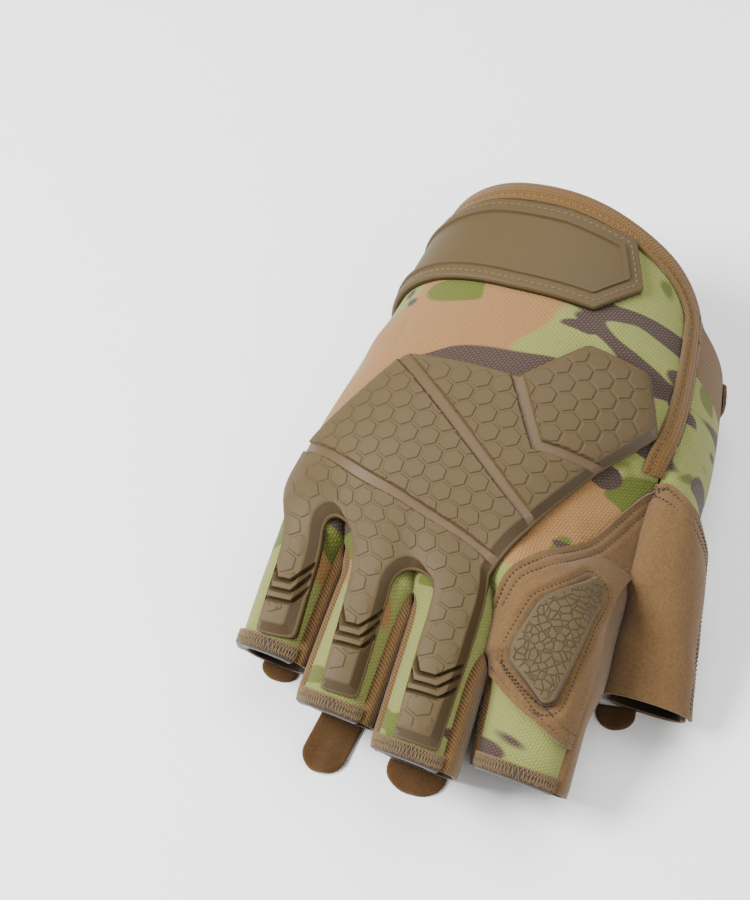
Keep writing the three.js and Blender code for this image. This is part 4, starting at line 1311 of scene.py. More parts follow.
# Knuckle guard on the chart, anticlockwise, with its strips along three fingers
STRIPS = table(
    "name right left end nicks",
    ("middle", 22.6, 9.2, -87, -68),
    ("ring", -5.8, -17.4, -75.5, -56.5),
    ("little", -27.2, -38.8, -60, -45),
)
STRIP_TAPER = 0.6
U_CUTS = table("q height", (-45, 6.3), (-32, 5.8))
CHANNEL = {"width": 3.9, "floor_width": 2.7, "floor": 2.1, "wall": 2.4, "away": 9}
CHANNELS = (
    [(-22.5, 28), (38, -19.3)],
    [(-50, 2.8), (31, -33.5)],
    [(11.8, 27.7), (27.9, 5.6), (51, 7.6)],
)
CHAMFER = {"rim": 0.7, "narrow": 0.5, "wide": 2.6, "facing": 1.4, "dir": (0.78, -0.62)}
HEXAGON = {"pitch": 5.9, "flats": 4.75, "ramp": 0.28, "rise": 0.3, "margin": 0.2, "edge": 0.7}
GUARD_LEAST = 0.4
# A finger's nicks: how far across the strip the left arm, the level part and the right arm of
# each meet, in shares of its width, and the heights of its level part and ends
NICKS = table(
    "left right drop left_rise right_rise",
    (0.29, 0.52, 0, 6.6, 6.2),
    (0.22, 0.585, 2.6, 6.2, 6.0),
    (0.15, 0.65, 5.1, 5.4, 4.8),
)
NICK = {"left_end": 0.08, "right_end": 0.95, "width": 1.4, "wall": 0.3, "depth": 1.9, "taper": 1.6}


def strip_end(strip):
    left, right = strip["left"] + STRIP_TAPER, strip["right"] - STRIP_TAPER
    return [(left, strip["end"]), (right, strip["end"])]


def u_cut(i):
    """The round end of the gap between two of the guard's strips."""
    a, b = STRIPS[i]["left"], STRIPS[i + 1]["right"]
    turn = np.linspace(math.pi, 0, 15)
    cut = U_CUTS[i]
    x = (a + b) / 2 + (a - b) / 2 * np.cos(turn)
    return list(zip(x, cut["q"] + cut["height"] * np.sin(turn)))


def guard_outline():
    return [
        (57, 24.5),
        (47.5, 40.5),
        (28, 41),
        (14.5, 25),
        (-19, 26.5),
        (-29.5, 8.5),
        (-36.4, -2),
        (-37, -12),
        (-38, -26),
        *strip_end(STRIPS[2]),
        *u_cut(1),
        *strip_end(STRIPS[1]),
        *u_cut(0),
        *strip_end(STRIPS[0]),
        (24.2, -40),
        (24.4, -35.5),
        (34.6, -18.5),
        (46.6, 6.5),
    ]


def chamfer_width(normal):
    """How far the guard's slope runs in, by the direction that its edge faces."""
    facing = max(0.0, float(normal @ np.array(CHAMFER["dir"])))
    share = float(smooth(facing * CHAMFER["facing"]))
    return CHAMFER["rim"] + lerp(CHAMFER["narrow"], CHAMFER["wide"], share)


def across_line(line, points):
    """Distance to the infinite mitred band along a polyline."""
    line = np.asarray(line, float)
    best = last = None
    for a, b in zip(line, line[1:]):
        u = unit(b - a)
        d = np.abs((points - a) @ np.array([-u[1], u[0]]))
        best = d if best is None else np.where((points - a) @ unit(last + u) > 0, d, best)
        last = u
    along = (points - line[0]) @ unit(line[1] - line[0])
    return np.where(along < 0, np.hypot(best, along), best)


def hexagons(step, area):
    """Centres of a lattice of hexagons, rows along p, over an outline's box."""
    low, high = area.min(0), area.max(0)
    centres = [
        (p + step / 2 * (i % 2), q)
        for i, q in enumerate(np.arange(low[1], high[1], step * math.sqrt(3) / 2))
        for p in np.arange(low[0], high[0], step)
    ]
    return np.array(centres)


def hexagon(centre, flats):
    turn = np.radians(np.arange(30, 390, 60))
    radius = flats / math.sqrt(3)
    return np.array(centre) + radius * np.stack([np.cos(turn), np.sin(turn)], -1)


def hexagon_rise(centres, finish, points):
    """Relief of raised hexagons with short ramps."""
    best = np.full(len(points), 1e9)
    for centre in centres:
        near = np.abs(points - centre).max(1) < finish["flats"]
        d = points[near] - centre
        reach = np.maximum(np.abs(d[:, 0]), np.abs(d @ np.array([0.5, math.sqrt(0.75)])))
        reach = np.maximum(reach, np.abs(d @ np.array([-0.5, math.sqrt(0.75)])))
        best[near] = np.minimum(best[near], reach)
    return finish["rise"] * np.clip((finish["flats"] / 2 + finish["ramp"] - best) / finish["ramp"], 0, 1)


def make_guard():
    outline = np.array(guard_outline())
    rim = rounded(outline, 1.6)
    chamfer = drawn_in(outline, chamfer_width)
    levels = [
        (rim, 0.75),
        *rings(outline, (0.32, 1.5, 1.15), (0.75, 1.4, FLANGE)),
        (rounded(chamfer, 0.9), GUARD_HEIGHT - 0.15),
        *rings(chamfer, (0.45, 0.7, GUARD_HEIGHT)),
    ]
    top = levels[-1][0]
    centres = hexagons(HEXAGON["pitch"], outline)
    away = line_distance(top, centres, True) > HEXAGON["margin"]
    centres = centres[inside(top, centres) & away]
    lines = [(line, True) for line, _ in levels[1:]]
    for line in CHANNELS:
        for half in (CHANNEL["floor_width"] / 2, CHANNEL["width"] / 2):
            lines += [(beside(line, half), False), (beside(line, -half), False)]
    for centre in centres:
        for flats in (HEXAGON["flats"], HEXAGON["flats"] + 2 * HEXAGON["ramp"]):
            lines.append((hexagon(centre, flats), True))
    nicks = [[nick_line(strip, nick) for nick in NICKS] for strip in STRIPS]
    nick_lines = [line for group in nicks for line in group]
    for line in nick_lines:
        lines.append((line, False))
        lines += [(beside(line, -NICK[key]), False) for key in ("wall", "width")]

    def height(points):
        h = step_height(levels, points)
        depth = smooth(line_distance(top, points, True) / HEXAGON["edge"]) * inside(top, points)
        for group in nicks:
            last = beside(group[-1], -NICK["width"])
            depth *= ~(below_line(group[0], points) & ~below_line(last, points))
        h = h + hexagon_rise(centres, HEXAGON, points) * depth
        for line in CHANNELS:
            d = across_line(line, points)
            rise = (d - CHANNEL["floor_width"] / 2) / (CHANNEL["width"] - CHANNEL["floor_width"]) * 2
            side = CHANNEL["floor"] + CHANNEL["wall"] * np.clip(rise, 0, 1)
            h = np.minimum(h, side + CHANNEL["away"] * (rise > 1.001))
        for line in nick_lines:
            h = h - nick_depth(line, points)
        return LIFT + np.maximum(h, GUARD_LEAST)

    bed = StiffBed(outline)
    made = plate(rim, lines, height, base=-1.2, spacing=1.5, lay=bed)
    co, faces, flat, middles, creases = made
    kinds = np.zeros(len(faces), int)
    # Faces of the slope round the guard take the darker chamfer colour, a painted shade.
    kinds[: len(middles)][inside(levels[2][0], middles) & ~inside(levels[3][0], middles)] = 2
    # The channels' floors take the lighter channel colour, which is a painted reflection.
    for line in CHANNELS:
        floor = (across_line(line, middles) < CHANNEL["floor_width"] / 2) & inside(levels[2][0], middles)
        kinds[: len(middles)][floor] = 1
    return co, faces, flat, kinds, creases


def beside(line, distance):
    """A polyline moved aside, with mitred corners."""
    line = np.asarray(line, float)
    runs = unit(np.diff(line, axis=0))
    sides = np.stack([-runs[:, 1], runs[:, 0]], -1)
    moved = [line[0] + sides[0] * distance]
    for i in range(1, len(line) - 1):
        middle = unit(sides[i - 1] + sides[i])
        moved.append(line[i] + middle * distance / (middle @ sides[i]))
    return np.array([*moved, line[-1] + sides[-1] * distance])


def nick_line(strip, nick):
    """The upper edge of a nick across a strip: its left arm, its level part and its right arm."""
    shares = (NICK["left_end"], nick["left"], nick["right"], NICK["right_end"])
    across = [strip["left"] + share * (strip["right"] - strip["left"]) for share in shares]
    q = strip["nicks"] - nick["drop"]
    return np.array(list(zip(across, (q + nick["left_rise"], q, q, q + nick["right_rise"]))))


def below_line(line, points):
    """Whether points lie under a line that runs to the right, within its span."""
    span = (points[:, 0] > line[0, 0]) & (points[:, 0] < line[-1, 0])
    return span & (points[:, 1] < np.interp(points[:, 0], line[:, 0], line[:, 1]))


def nick_depth(line, points):
    """A nick's depth: a steep wall under its line, then a slope back up."""
    d = line_distance(line, points)
    under = below_line(line, points)
    slope = (NICK["width"] - d) / (NICK["width"] - NICK["wall"])
    drop = np.clip(d / NICK["wall"], 0, 1) * np.clip(slope, 0, 1)
    ends = np.minimum(np.hypot(*(points - line[0]).T), np.hypot(*(points - line[-1]).T))
    return NICK["depth"] * drop * under * np.clip(ends / NICK["taper"], 0, 1)


# Wrist strap on the chart: a plain field inside a raised border line
STRAP_OUTLINE = [
    (-74, 54.5),
    (-22, 54.5),
    (2, 53),
    (25.6, 53),
    (36.5, 66),
    (30, 81.5),
    (10, 84.5),
    (-12, 84.5),
    (-30, 82),
    (-74, 81),
]
BORDER = {"inset": 4.2, "width": 1.5, "rise": 0.7, "slope": 0.2}
STRAP_ROW = {"inset": 2.2, "corner": 1.3}


def make_strap():
    outline = np.array(STRAP_OUTLINE)
    base = STRAP_HEIGHT - BORDER["rise"]
    inset, width, slope = BORDER["inset"], BORDER["width"], BORDER["slope"]
    rows = (
        (0.3, 1.4, base - 0.2),
        (0.7, 1.3, base),
        (inset, 1.2, base),
        (inset + slope, 1.2, STRAP_HEIGHT),
        (inset + width - slope, 1.1, STRAP_HEIGHT),
        (inset + width, 1.1, base - 0.15),
    )
    levels = [(rounded(outline, 1.5), 0.9), *rings(outline, *rows)]
    lines = [(line, True) for line, _ in levels[1:]]

    def height(points):
        return LIFT + step_height(levels, points)

    return plate(levels[0][0], lines, height, base=0.05, spacing=1.6)


# Stones on the index finger's pad, and the grooves between them
PEBBLE = {"pitch": 2.0, "groove": 0.1, "depth": 0.22}
PAD_SUNK = 0.6


def make_pad():
    outline = np.array(PAD_OUTLINE)
    rows = ((0.45, 2.0, PAD_HEIGHT - 0.25), (0.9, 1.8, PAD_HEIGHT), (1.3, 1.6, PAD_HEIGHT))
    levels = [(rounded(outline, 2.2), 0.9), *rings(outline, *rows)]

    def height(points):
        return 2 * LIFT + SUEDE_WALL - PAD_SUNK + step_height(levels, points)

    lines = [(line, True) for line, _ in levels[1:]]
    made = plate(levels[0][0], lines, height, base=2 * LIFT + 0.3, spacing=0.8)
    # The pad's outer ring, walls and underside take the dark lining colour. On the ring and walls it is a
    # painted shadow line round the pad.
    kinds = np.full(len(made[1]), 2)
    kinds[: len(made[3])] = 2 - inside(levels[1][0], made[3]) * 2 + inside(levels[3][0], made[3])
    return *made, kinds


def stations(k, t, y, side):
    return sheet(k, t, y, side), sheet_normal(k, t, y, side)


def folded_tape(points, normals, wall, size):
    """Tape folded over an edge: points, faces, cloth places, and the way in from the edge."""
    tangent = np.gradient(points, axis=0)
    into = unit(np.cross(normals, unit(tangent)))
    outer = size["clear"] + size["thick"]
    inner = -wall - size["clear"]
    low = inner - size["thick"]
    turn = np.radians(np.linspace(90, -90, 9))
    middle, half = (outer + low) / 2, (outer - low) / 2
    fold = [(-size["reach"] * math.cos(a), middle + half * math.sin(a)) for a in turn]
    w = size["width"]
    profile = [
        (w, outer - 0.3),
        (w - 0.3, outer),
        (w * 0.78, outer + 0.1),
        (w * TAPE_ROW, outer - size["groove"]),
        (w * 0.58, outer + 0.12),
        (w * 0.3, outer + 0.1),
        *fold,
        (w - 0.3, low),
        (w, low + 0.3),
        (w, inner),
        (-0.3, inner),
        (-0.3, size["clear"]),
        (w, size["clear"]),
    ]
    n, m = len(points), len(profile)
    a = np.array([p[0] for p in profile])
    h = np.array([p[1] for p in profile])
    co = points[:, None] + into[:, None] * a[None, :, None] + normals[:, None] * h[None, :, None]
    co[..., 2] = np.maximum(co[..., 2], 0)
    run = np.concatenate([[0], np.cumsum(np.linalg.norm(np.diff(points, axis=0), axis=1))])
    girth = np.concatenate([[0], np.cumsum(np.hypot(np.diff(a), np.diff(h)))])
    uv = np.stack([np.repeat(run, m), np.tile(girth, n)], -1)
    faces = []
    for i in range(n - 1):
        for j in range(m):
            k = (j + 1) % m
            faces.append((i * m + j, i * m + k, (i + 1) * m + k, (i + 1) * m + j))
    faces += [tuple(range(m))[::-1], tuple(range((n - 1) * m, n * m))]
    return co.reshape(-1, 3), faces, uv, into


def binding_path():
    """The tape's way: up the slit, over the back of the wrist and round the palm's edge."""
    parts = []
    top = float(cuff_at(INDEX, np.array([0.0]), 1)[0]) - 2
    ys = np.linspace(WRIST_Y + 3.5, top, 44)
    parts.append(stations(INDEX, slit_share(ys), ys, 1))
    for k in (INDEX, MIDDLE_FINGER, RING, LITTLE):
        t = np.linspace(0, 1, 16)[1:]
        t = np.maximum(t, SLIT_SHARE + 0.02)
        parts.append(stations(k, t, cuff_at(k, t, 1) - 0.2, 1))
    for k in (LITTLE, RING, MIDDLE_FINGER, INDEX, THUMB):
        t = 1 - np.linspace(0, 1, 14)[1:]
        parts.append(stations(k, t, cuff_at(k, t, -1) - 0.2, -1))
    points, normals = (np.concatenate(v) for v in zip(*parts))
    keep = np.concatenate([[True], np.linalg.norm(np.diff(points, axis=0), axis=1) > 0.25])
    points, normals = points[keep], normals[keep]
    soft = points.copy()
    for _ in range(3):
        soft[1:-1] = (soft[:-2] + 2 * soft[1:-1] + soft[2:]) / 4
        normals[1:-1] = unit(normals[:-2] + 2 * normals[1:-1] + normals[2:])
    return soft, normals


def mouth_path(k):
    t = np.linspace(0.97, 0.03, 40)
    return stations(k, t, FINGERS[k]["y1"] + 0.1, 1)


TABS = table(
    "name k start end width length",
    ("little", LITTLE, 0.25, 0.5, 10.5, 4.5),
    ("ring", RING, 1 / 3, 2 / 3, 12.5, 18),
    ("middle", MIDDLE_FINGER, 1 / 3, 2 / 3, 17, 8.5),
    ("thumb", THUMB, 0.76, 1.0, 11, 7.5),
)


# How the tabs curl up and wave towards their ends
CURL = {"rise": 0.05, "from": 3, "wave": 0.12, "across": 0.9, "run": 6, "least": 0.05}


def make_tab(tab):
    y = FINGERS[tab["k"]]["y1"]
    right, left = sheet(tab["k"], np.array([tab["start"], tab["end"]]), y, -1)
    r = tab["width"] / 2
    reach = min(r, 0.8 * tab["length"])
    turn = np.radians(np.linspace(180, 360, 17))
    tongue = list(zip(r * np.cos(turn), reach - tab["length"] + reach * np.sin(turn)))
    outline = np.array([(-r, 0), *tongue, (r, 0)])
    angle = math.atan2(right[1] - left[1], right[0] - left[0])
    middle = (right + left) / 2

    def place(flat, height):
        x = middle[0] + flat[:, 0] * math.cos(angle) - flat[:, 1] * math.sin(angle)
        y = middle[1] + flat[:, 0] * math.sin(angle) + flat[:, 1] * math.cos(angle)
        out = -flat[:, 1]
        curl = CURL["rise"] * np.maximum(out - CURL["from"], 0)
        curl += CURL["wave"] * np.sin(flat[:, 0] * CURL["across"]) * np.maximum(out, 0) / CURL["run"]
        return np.stack([x, y, np.maximum(height + curl, CURL["least"])], -1)

    levels = [(outline, 0.85), (drawn_in(outline, 0.4), 1.2)]
    lines = [(levels[1][0], True)]
    return plate(outline, lines, lambda p: step_height(levels, p), base=0.12, spacing=1.2, lay=place)


def colour(name, description, r, g, b):
    """A colour property whose default is given as display values from 0 to 255."""
    linear = [((v / 255 + 0.055) / 1.055) ** 2.4 if v > 10 else v / 255 / 12.92 for v in (r, g, b)]
    return FloatVectorProperty(
        name=name, description=description, subtype="COLOR", size=3, min=0, max=1, default=linear
    )


def length(name, description, size):
    """A length property whose default is given in millimetres."""
    return FloatProperty(name=name, description=description, default=size * MM, unit="LENGTH")


class GloveFinish(bpy.types.PropertyGroup):
    """Colours and sizes of the glove's finish."""

    camo_green: colour("Camo green", "Light ground of the printed knit", 120, 124, 66)
    camo_tan: colour("Camo tan", "Tan ground of the printed knit", 136, 100, 60)
    camo_brown: colour("Camo brown", "Dark patches of the printed knit", 60, 47, 42)
    camo_olive: colour("Camo olive", "Olive patches of the printed knit", 80, 88, 30)
    camo_pale: colour("Camo pale", "Pale flecks of the printed knit", 176, 148, 112)
    suede: colour("Suede", "Suede of the palm, thumb and saddle", 94, 71, 44)
    # The pull tabs' darker suede is painted shade of their shadowed undersides.
    tab: colour("Pull tabs", "Darker suede of the pull tabs", 74, 51, 27)
    suede_thread: colour("Suede thread", "Thread of the suede's stitches", 52, 37, 22)
    beige_thread: colour("Beige thread", "Thread of the strap and tape", 96, 76, 48)
    overlock: colour("Overlock", "Overlock thread of the finger ends", 96, 76, 46)
    overlock_band: colour("Overlock band", "Threads under the overlock's loops", 44, 32, 18)
    tape: colour("Tape", "Knit tape of the wrist and slit", 101, 72, 29)
    rib: colour("Ribbed cloth", "Crests of the ribbed cloth", 104, 76, 40)
    # The rib grooves' darker colour is painted shade.
    rib_groove_painted_shade: colour("Rib grooves", "Grooves of the ribbed cloth", 62, 43, 20)
    rubber: colour("Rubber", "Moulded rubber of guard, strap and pad", 76, 62, 38)
    # The channel floors are coloured lighter than the rubber as painted reflection, and their lower
    # roughness gives their gloss.
    channel: colour("Rubber channels", "Smooth floors of the guard's channels", 84, 67, 46)
    # The chamfers' darker colour is painted shade of slopes that turn away from the light.
    chamfer: colour("Rubber chamfers", "Smooth slopes round the guard", 62, 48, 27)
    # The lining colour also paints the shadow line round the index pad.
    lining_and_painted_shadow: colour("Lining", "Inner side of cloth and suede", 40, 28, 18)
    floor: colour("Floor", "Plain pale floor", 250, 250, 250)
    rib_pitch: length("Rib pitch", "Step of the ribs", 0.85)
    stitch_pitch: length("Stitch pitch", "Step of the round stitches", 1.3)
    stitch_length: length("Stitch length", "Length of one stitch", 0.8)
    stitch_radius: length("Stitch radius", "Radius of the sewing thread", 0.3)
    overlock_turns: IntProperty(
        name="Overlock turns", description="Thread turns at a finger end", default=28, min=4
    )


def cloth(node, part, wall, gap, ending, outside, slot, finer=1):
    """Makes one part of the skin with its lining, and fixes it on the glove."""
    co, faces, uv, kinds = SKIN.shell([part], wall, gap)
    made = make_mesh(node + ending, co, faces, [outside, "lining_and_painted_shadow"], uv * finer, kinds, sharp=70)
    fit(made, slot, node)


class GLOVE_OT_knit_back(bpy.types.Operator):
    """Makes the printed knit of the back and the wrist gusset"""

    bl_idname = "glove.knit_back"
    bl_label = "Knit Back and Gusset"

    def execute(self, context):
        for node, part in (("back_panel", "back"), ("wrist_gusset", "gusset")):
            cloth(node, part, BACK_WALL, 0.05, "_knit", "camo", "camo_mesh")
        return {"FINISHED"}


class GLOVE_OT_ribbed_cloth(bpy.types.Operator):
    """Makes the ribbed rolls between the fingers and the ribbed wrap of the heel"""

    bl_idname = "glove.ribbed_cloth"
    bl_label = "Ribbed Cloth"

    def execute(self, context):
        pieces = (
            ("heel_wrap", "heel", BACK_WALL, 1.5),
            ("fourchette_middle_index", "web 1", RIBBED_WALL, 1),
            ("fourchette_ring_middle", "web 2", RIBBED_WALL, 1),
            ("fourchette_little_ring", "web 3", RIBBED_WALL, 1),
        )
        for node, part, wall, finer in pieces:
            cloth(node, part, wall, 0.03, "_ribbed", "ribbed", "ribbed_fabric", finer)
        return {"FINISHED"}


class GLOVE_OT_suede_palm(bpy.types.Operator):
    """Makes the suede palm and the suede walls beside the thumb"""

    bl_idname = "glove.suede_palm"
    bl_label = "Suede Palm"

    def execute(self, context):
        for node, part, wall in (("palm_panel", "palm", PALM_WALL), ("thumb_web", "web 0", SUEDE_WALL)):
            cloth(node, part, wall, 0.03, "_suede", "suede", "suede")
        return {"FINISHED"}


class GLOVE_OT_suede_saddle(bpy.types.Operator):
    """Makes the suede saddle over the index finger and thumb, with its sewn grooves"""

    bl_idname = "glove.suede_saddle"
    bl_label = "Suede Saddle"

    def execute(self, context):
        co, faces, uv, kinds = make_saddle()
        made = make_mesh("saddle_suede", co, faces, ["suede", "lining_and_painted_shadow"], uv, kinds, sharp=75)
        fit(made, "suede", "suede_saddle")
        return {"FINISHED"}


class GLOVE_OT_knuckle_guard(bpy.types.Operator):
    """Makes the moulded knuckle guard with its hexagons, channels and nicks"""

    bl_idname = "glove.knuckle_guard"
    bl_label = "Knuckle Guard"

    def execute(self, context):
        co, faces, uv, kinds, creases = make_guard()
        # The chamfer slot paints shade on the guard's slopes, and the channel slot paints a reflection on
        # the channel floors.
        slots = ["rubber", "channel", "chamfer"]
        made = make_mesh("knuckle_guard_moulded", co, faces, slots, uv, kinds, creases=creases)
        fit(made, "rubber", "knuckle_guard")
        return {"FINISHED"}


class GLOVE_OT_wrist_strap(bpy.types.Operator):
    """Makes the moulded wrist strap with its border line"""

    bl_idname = "glove.wrist_strap"
    bl_label = "Wrist Strap"

    def execute(self, context):
        co, faces, uv, _, creases = make_strap()
        made = make_mesh("wrist_strap_moulded", co, faces, ["rubber"], uv, creases=creases)
        fit(made, "rubber", "wrist_strap")
        return {"FINISHED"}


class GLOVE_OT_index_pad(bpy.types.Operator):
    """Makes the pebbled rubber pad of the index finger"""

    bl_idname = "glove.index_pad"
    bl_label = "Index Pad"

    def execute(self, context):
        co, faces, uv, _, creases, kinds = make_pad()
        # The pad's third slot paints a shadow line round it in the lining colour.
        slots = ["rubber", "pebbles", "lining_and_painted_shadow"]
        made = make_mesh("index_pad_moulded", co, faces, slots, uv, kinds, creases=creases)
        fit(made, "rubber", "index_pad")
        return {"FINISHED"}


class GLOVE_OT_wrist_tape(bpy.types.Operator):
    """Makes the knit tape round the wrist and the slit"""

    bl_idname = "glove.wrist_tape"
    bl_label = "Wrist Tape"

    def execute(self, context):
        points, normals = binding_path()
        co, faces, uv, _ = folded_tape(points, normals, BACK_WALL, TAPE)
        made = make_mesh("cuff_binding_tape", co, faces, ["tape"], uv, sharp=60)
        fit(made, "tape", "cuff_binding")
        return {"FINISHED"}


# The overlock's threads, by distance from the edge, and how far each swings to its sides
TURN_POINTS = 8
OVERLOCK_THREAD = 0.17
LOOPS = {"low": 0.5, "low_swing": 1.2, "high": 2.6, "high_swing": 1.0, "rise": 0.15, "loose": 0.18}
FALL = {"depth": 1.3, "from": 0.3, "run": 1.4}
CHAIN = {"at": 3.5, "swing": 0.25, "rise": 0.1}


def overlock_lines(points, normals, into, turns, random):
    """Three threads along a finger end: the loops' two sides and the chain behind them."""
    at = np.linspace(0, len(points) - 1, turns * TURN_POINTS + 1)
    i = np.clip(at.astype(int), 0, len(points) - 2)
    f = (at - i)[:, None]
    p, n, w = (lerp(v[i], v[i + 1], f) for v in (points, unit(normals), into))
    top = OVERLOCK["clear"] + OVERLOCK["thick"]
    phase = np.arange(len(at)) / TURN_POINTS * 2 * math.pi
    loose = random.normal(0, LOOPS["loose"], (2, len(at), 1))
    swing = np.cos(phase)[:, None]
    edge = LOOPS["low"] + LOOPS["low_swing"] * swing + loose[0]
    drop = FALL["depth"] * smooth((FALL["from"] - edge) / FALL["run"])
    low = p + w * edge + n * (top + LOOPS["rise"] - drop)
    far = LOOPS["high"] - LOOPS["high_swing"] * swing + loose[1]
    high = p + w * far + n * (top + LOOPS["rise"])
    back = CHAIN["at"] + CHAIN["swing"] * np.sin(phase * 2)[:, None]
    chain = p + w * back + n * (top + CHAIN["rise"])
    return [(line, False) for line in (low, high, chain)]


class GLOVE_OT_overlock(bpy.types.Operator):
    """Makes the overlocked edges of the four finger ends"""

    bl_idname = "glove.overlock"
    bl_label = "Overlocked Finger Ends"

    def execute(self, context):
        turns = context.scene.glove_finish.overlock_turns
        random = np.random.default_rng(7)
        for k in (INDEX, MIDDLE_FINGER, RING, LITTLE):
            name = "overlock_" + FINGERS[k]["name"]
            points, normals = mouth_path(k)
            co, faces, uv, into = folded_tape(points, normals, BACK_WALL, OVERLOCK)
            fit(make_mesh(name + "_edge", co, faces, ["overlock band"], uv, sharp=60), "thread", name)
            lines = overlock_lines(points, normals, into, turns, random)
            fit(sewn(name + "_thread", "thread", lines, "overlock", radius=OVERLOCK_THREAD), "thread")
        return {"FINISHED"}


class GLOVE_OT_pull_tabs(bpy.types.Operator):
    """Makes the suede pull tabs under the finger ends"""

    bl_idname = "glove.pull_tabs"
    bl_label = "Pull Tabs"

    def execute(self, context):
        for tab in TABS:
            co, faces, uv, _, _ = make_tab(tab)
            name = "pull_tab_" + tab["name"]
            # The tabs are painted darker as painted shade.
            fit(make_mesh(name + "_suede", co, faces, ["painted shade suede"], uv, sharp=50), "suede", name)
        return {"FINISHED"}


# Rows along the thumb's right seam: distances from it, and the strip's share and width there
THUMB_ROWS = {"insets": (1.6, 4.0), "from": 1, "to": -39.5, "points": 60, "share": 0.012, "width": 42}
SMALL_STITCH = {"pitch": 2.0, "length": 1.5, "radius": 0.24}


def draped_rows(lines, height):
    return [(drape(spaced(line, 1.0, closed), height), closed) for line, closed in lines]


class GLOVE_OT_stitches(bpy.types.Operator):
    """Sews the rows of round stitches on suede, strap and tape"""

    bl_idname = "glove.stitches"
    bl_label = "Stitches"

    def execute(self, context):
        finish = context.scene.glove_finish
        sizes = {
            "pitch": finish.stitch_pitch / MM,
            "length": finish.stitch_length / MM,
            "radius": finish.stitch_radius / MM,
        }
        rows = draped_rows(saddle_lines(), LIFT + SUEDE_WALL - 0.3)
        n = THUMB_ROWS["points"]
        y = np.linspace(THUMB_ROWS["from"], THUMB_ROWS["to"], n)
        for inset in THUMB_ROWS["insets"]:
            share = THUMB_ROWS["share"] + inset / THUMB_ROWS["width"]
            points, normals = stations(THUMB, np.full(n, share), y, 1)
            rows.append((points + normals * (LIFT + SUEDE_WALL - 0.1), False))
        fit(sewn("suede_stitches", "stitches", rows, "brown thread", **sizes), "suede")
        row = rounded(drawn_in(STRAP_OUTLINE, STRAP_ROW["inset"]), STRAP_ROW["corner"])
        rows = draped_rows([(row, True)], LIFT + STRAP_HEIGHT - BORDER["rise"] + 0.02)
        fit(sewn("strap_stitches", "stitches", rows, "beige thread", **SMALL_STITCH), "rubber")
        points, normals = binding_path()
        into = folded_tape(points, normals, BACK_WALL, TAPE)[3]
        line = points + into * TAPE["width"] * TAPE_ROW
        line = line + normals * (TAPE["clear"] + TAPE["thick"] - 0.25)
        fit(sewn("tape_stitches", "stitches", [(line, False)], "beige thread", **SMALL_STITCH), "tape")
        return {"FINISHED"}


# The camera's place in millimetres: its way from the target, and its shift to the right and up
CAMERA = {
    "azimuth": 17,
    "elevation": 55,
    "distance": 900,
    "target": (0, 0, 40),
    "right": -26.39,
    "up": 5.56,
    "lens": 129.6,
}
FLOOR_HALF = 3.0
DAYLIGHT = 0.5
# Round lamps that face the glove, with distances and sizes in metres and the power in watts
LIGHTS = table(
    "name azimuth elevation distance size power",
    ("key", -66, 46, 0.9, 0.4, 18.5),
    ("top", 165, 66, 0.9, 0.8, 7.0),
    ("fill", 60, 40, 1.1, 1.0, 6),
)


def towards(azimuth, elevation):
    a, e = math.radians(azimuth), math.radians(elevation)
    return np.array([math.sin(a) * math.cos(e), -math.cos(a) * math.cos(e), math.sin(e)])


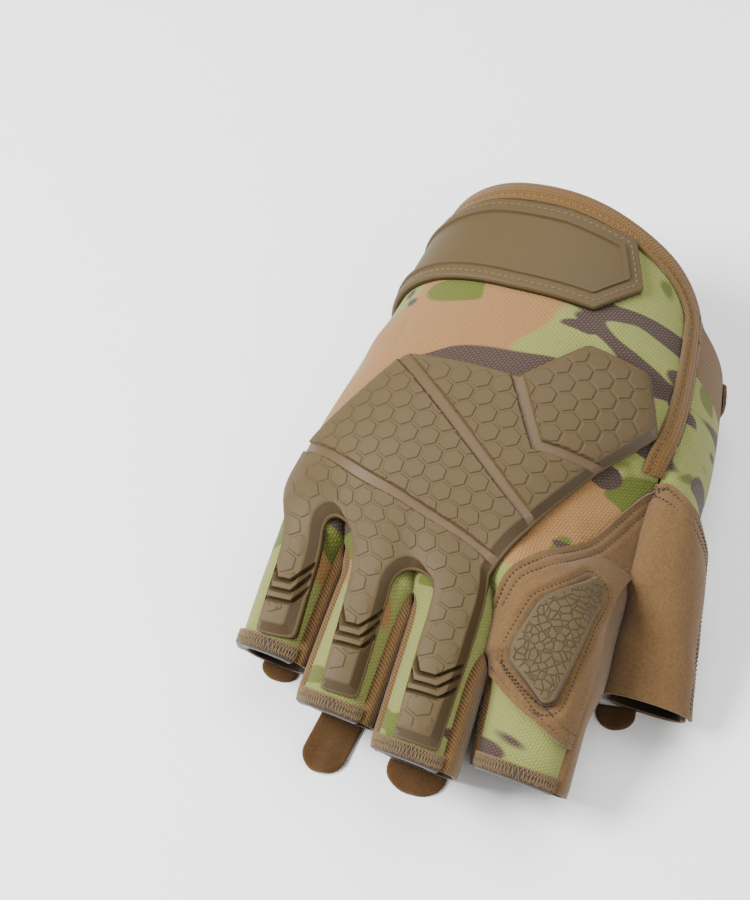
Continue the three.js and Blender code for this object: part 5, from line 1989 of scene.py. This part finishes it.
class GLOVE_OT_stage(bpy.types.Operator):
    """Sets the pale floor, the soft lights and the camera"""

    bl_idname = "glove.stage"
    bl_label = "Floor, Lights and Camera"

    def execute(self, context):
        scene = context.scene
        mesh = bpy.data.meshes.new("floor")
        corners = [(FLOOR_HALF * a, FLOOR_HALF * b, 0) for a, b in ((-1, -1), (1, -1), (1, 1), (-1, 1))]
        mesh.from_pydata(corners, [], [(0, 1, 2, 3)])
        mesh.materials.append(material("floor"))
        floor = placed("floor", mesh)
        world = bpy.data.worlds.new("studio")
        world.use_nodes = True
        light = world.node_tree.nodes["Background"].inputs
        light["Color"].default_value = (1, 1, 1, 1)
        light["Strength"].default_value = DAYLIGHT
        scene.world = world
        for row in LIGHTS:
            lamp = bpy.data.lights.new(row["name"], "AREA")
            lamp.shape = "DISK"
            lamp.size = row["size"]
            lamp.energy = row["power"]
            made = placed(row["name"] + "_light", lamp)
            made.location = towards(row["azimuth"], row["elevation"]) * row["distance"]
            made.rotation_euler = (-Vector(made.location)).to_track_quat("-Z", "Y").to_euler()
        back = towards(CAMERA["azimuth"], CAMERA["elevation"])
        a = math.radians(CAMERA["azimuth"])
        right = np.array([math.cos(a), math.sin(a), 0])
        up = np.cross(back, right)
        place = np.array(CAMERA["target"]) - MIDDLE + back * CAMERA["distance"]
        place = place + right * CAMERA["right"] + up * CAMERA["up"]
        lens = bpy.data.cameras.new("photo")
        lens.lens = CAMERA["lens"]
        camera = placed("photo_camera", lens)
        camera.location = place * MM
        camera.rotation_euler = Vector(-back).to_track_quat("-Z", "Y").to_euler()
        scene.camera = camera
        return {"FINISHED"}


PIECES = (
    GLOVE_OT_knit_back,
    GLOVE_OT_ribbed_cloth,
    GLOVE_OT_suede_palm,
    GLOVE_OT_suede_saddle,
    GLOVE_OT_knuckle_guard,
    GLOVE_OT_wrist_strap,
    GLOVE_OT_index_pad,
    GLOVE_OT_wrist_tape,
    GLOVE_OT_overlock,
    GLOVE_OT_pull_tabs,
    GLOVE_OT_stitches,
    GLOVE_OT_stage,
)


class GLOVE_PT_sidebar(bpy.types.Panel):
    """Lists the glove's finish and the makers of its pieces"""

    bl_idname = "GLOVE_PT_sidebar"
    bl_label = "Glove"
    bl_space_type = "VIEW_3D"
    bl_region_type = "UI"
    bl_category = "Glove"

    def draw(self, context):
        for name in GloveFinish.__annotations__:
            self.layout.prop(context.scene.glove_finish, name)
        for piece in PIECES:
            self.layout.operator(piece.bl_idname)


def register():
    for made in (GloveFinish, *PIECES, GLOVE_PT_sidebar):
        bpy.utils.register_class(made)
    bpy.types.Scene.glove_finish = PointerProperty(type=GloveFinish)


def unregister():
    del bpy.types.Scene.glove_finish
    for made in reversed((GloveFinish, *PIECES, GLOVE_PT_sidebar)):
        bpy.utils.unregister_class(made)


SKIN = make_skin()


def main():
    register()
    for piece in PIECES:
        group, name = piece.bl_idname.split(".")
        getattr(getattr(bpy.ops, group), name)()


if __name__ == "__main__":
    main()
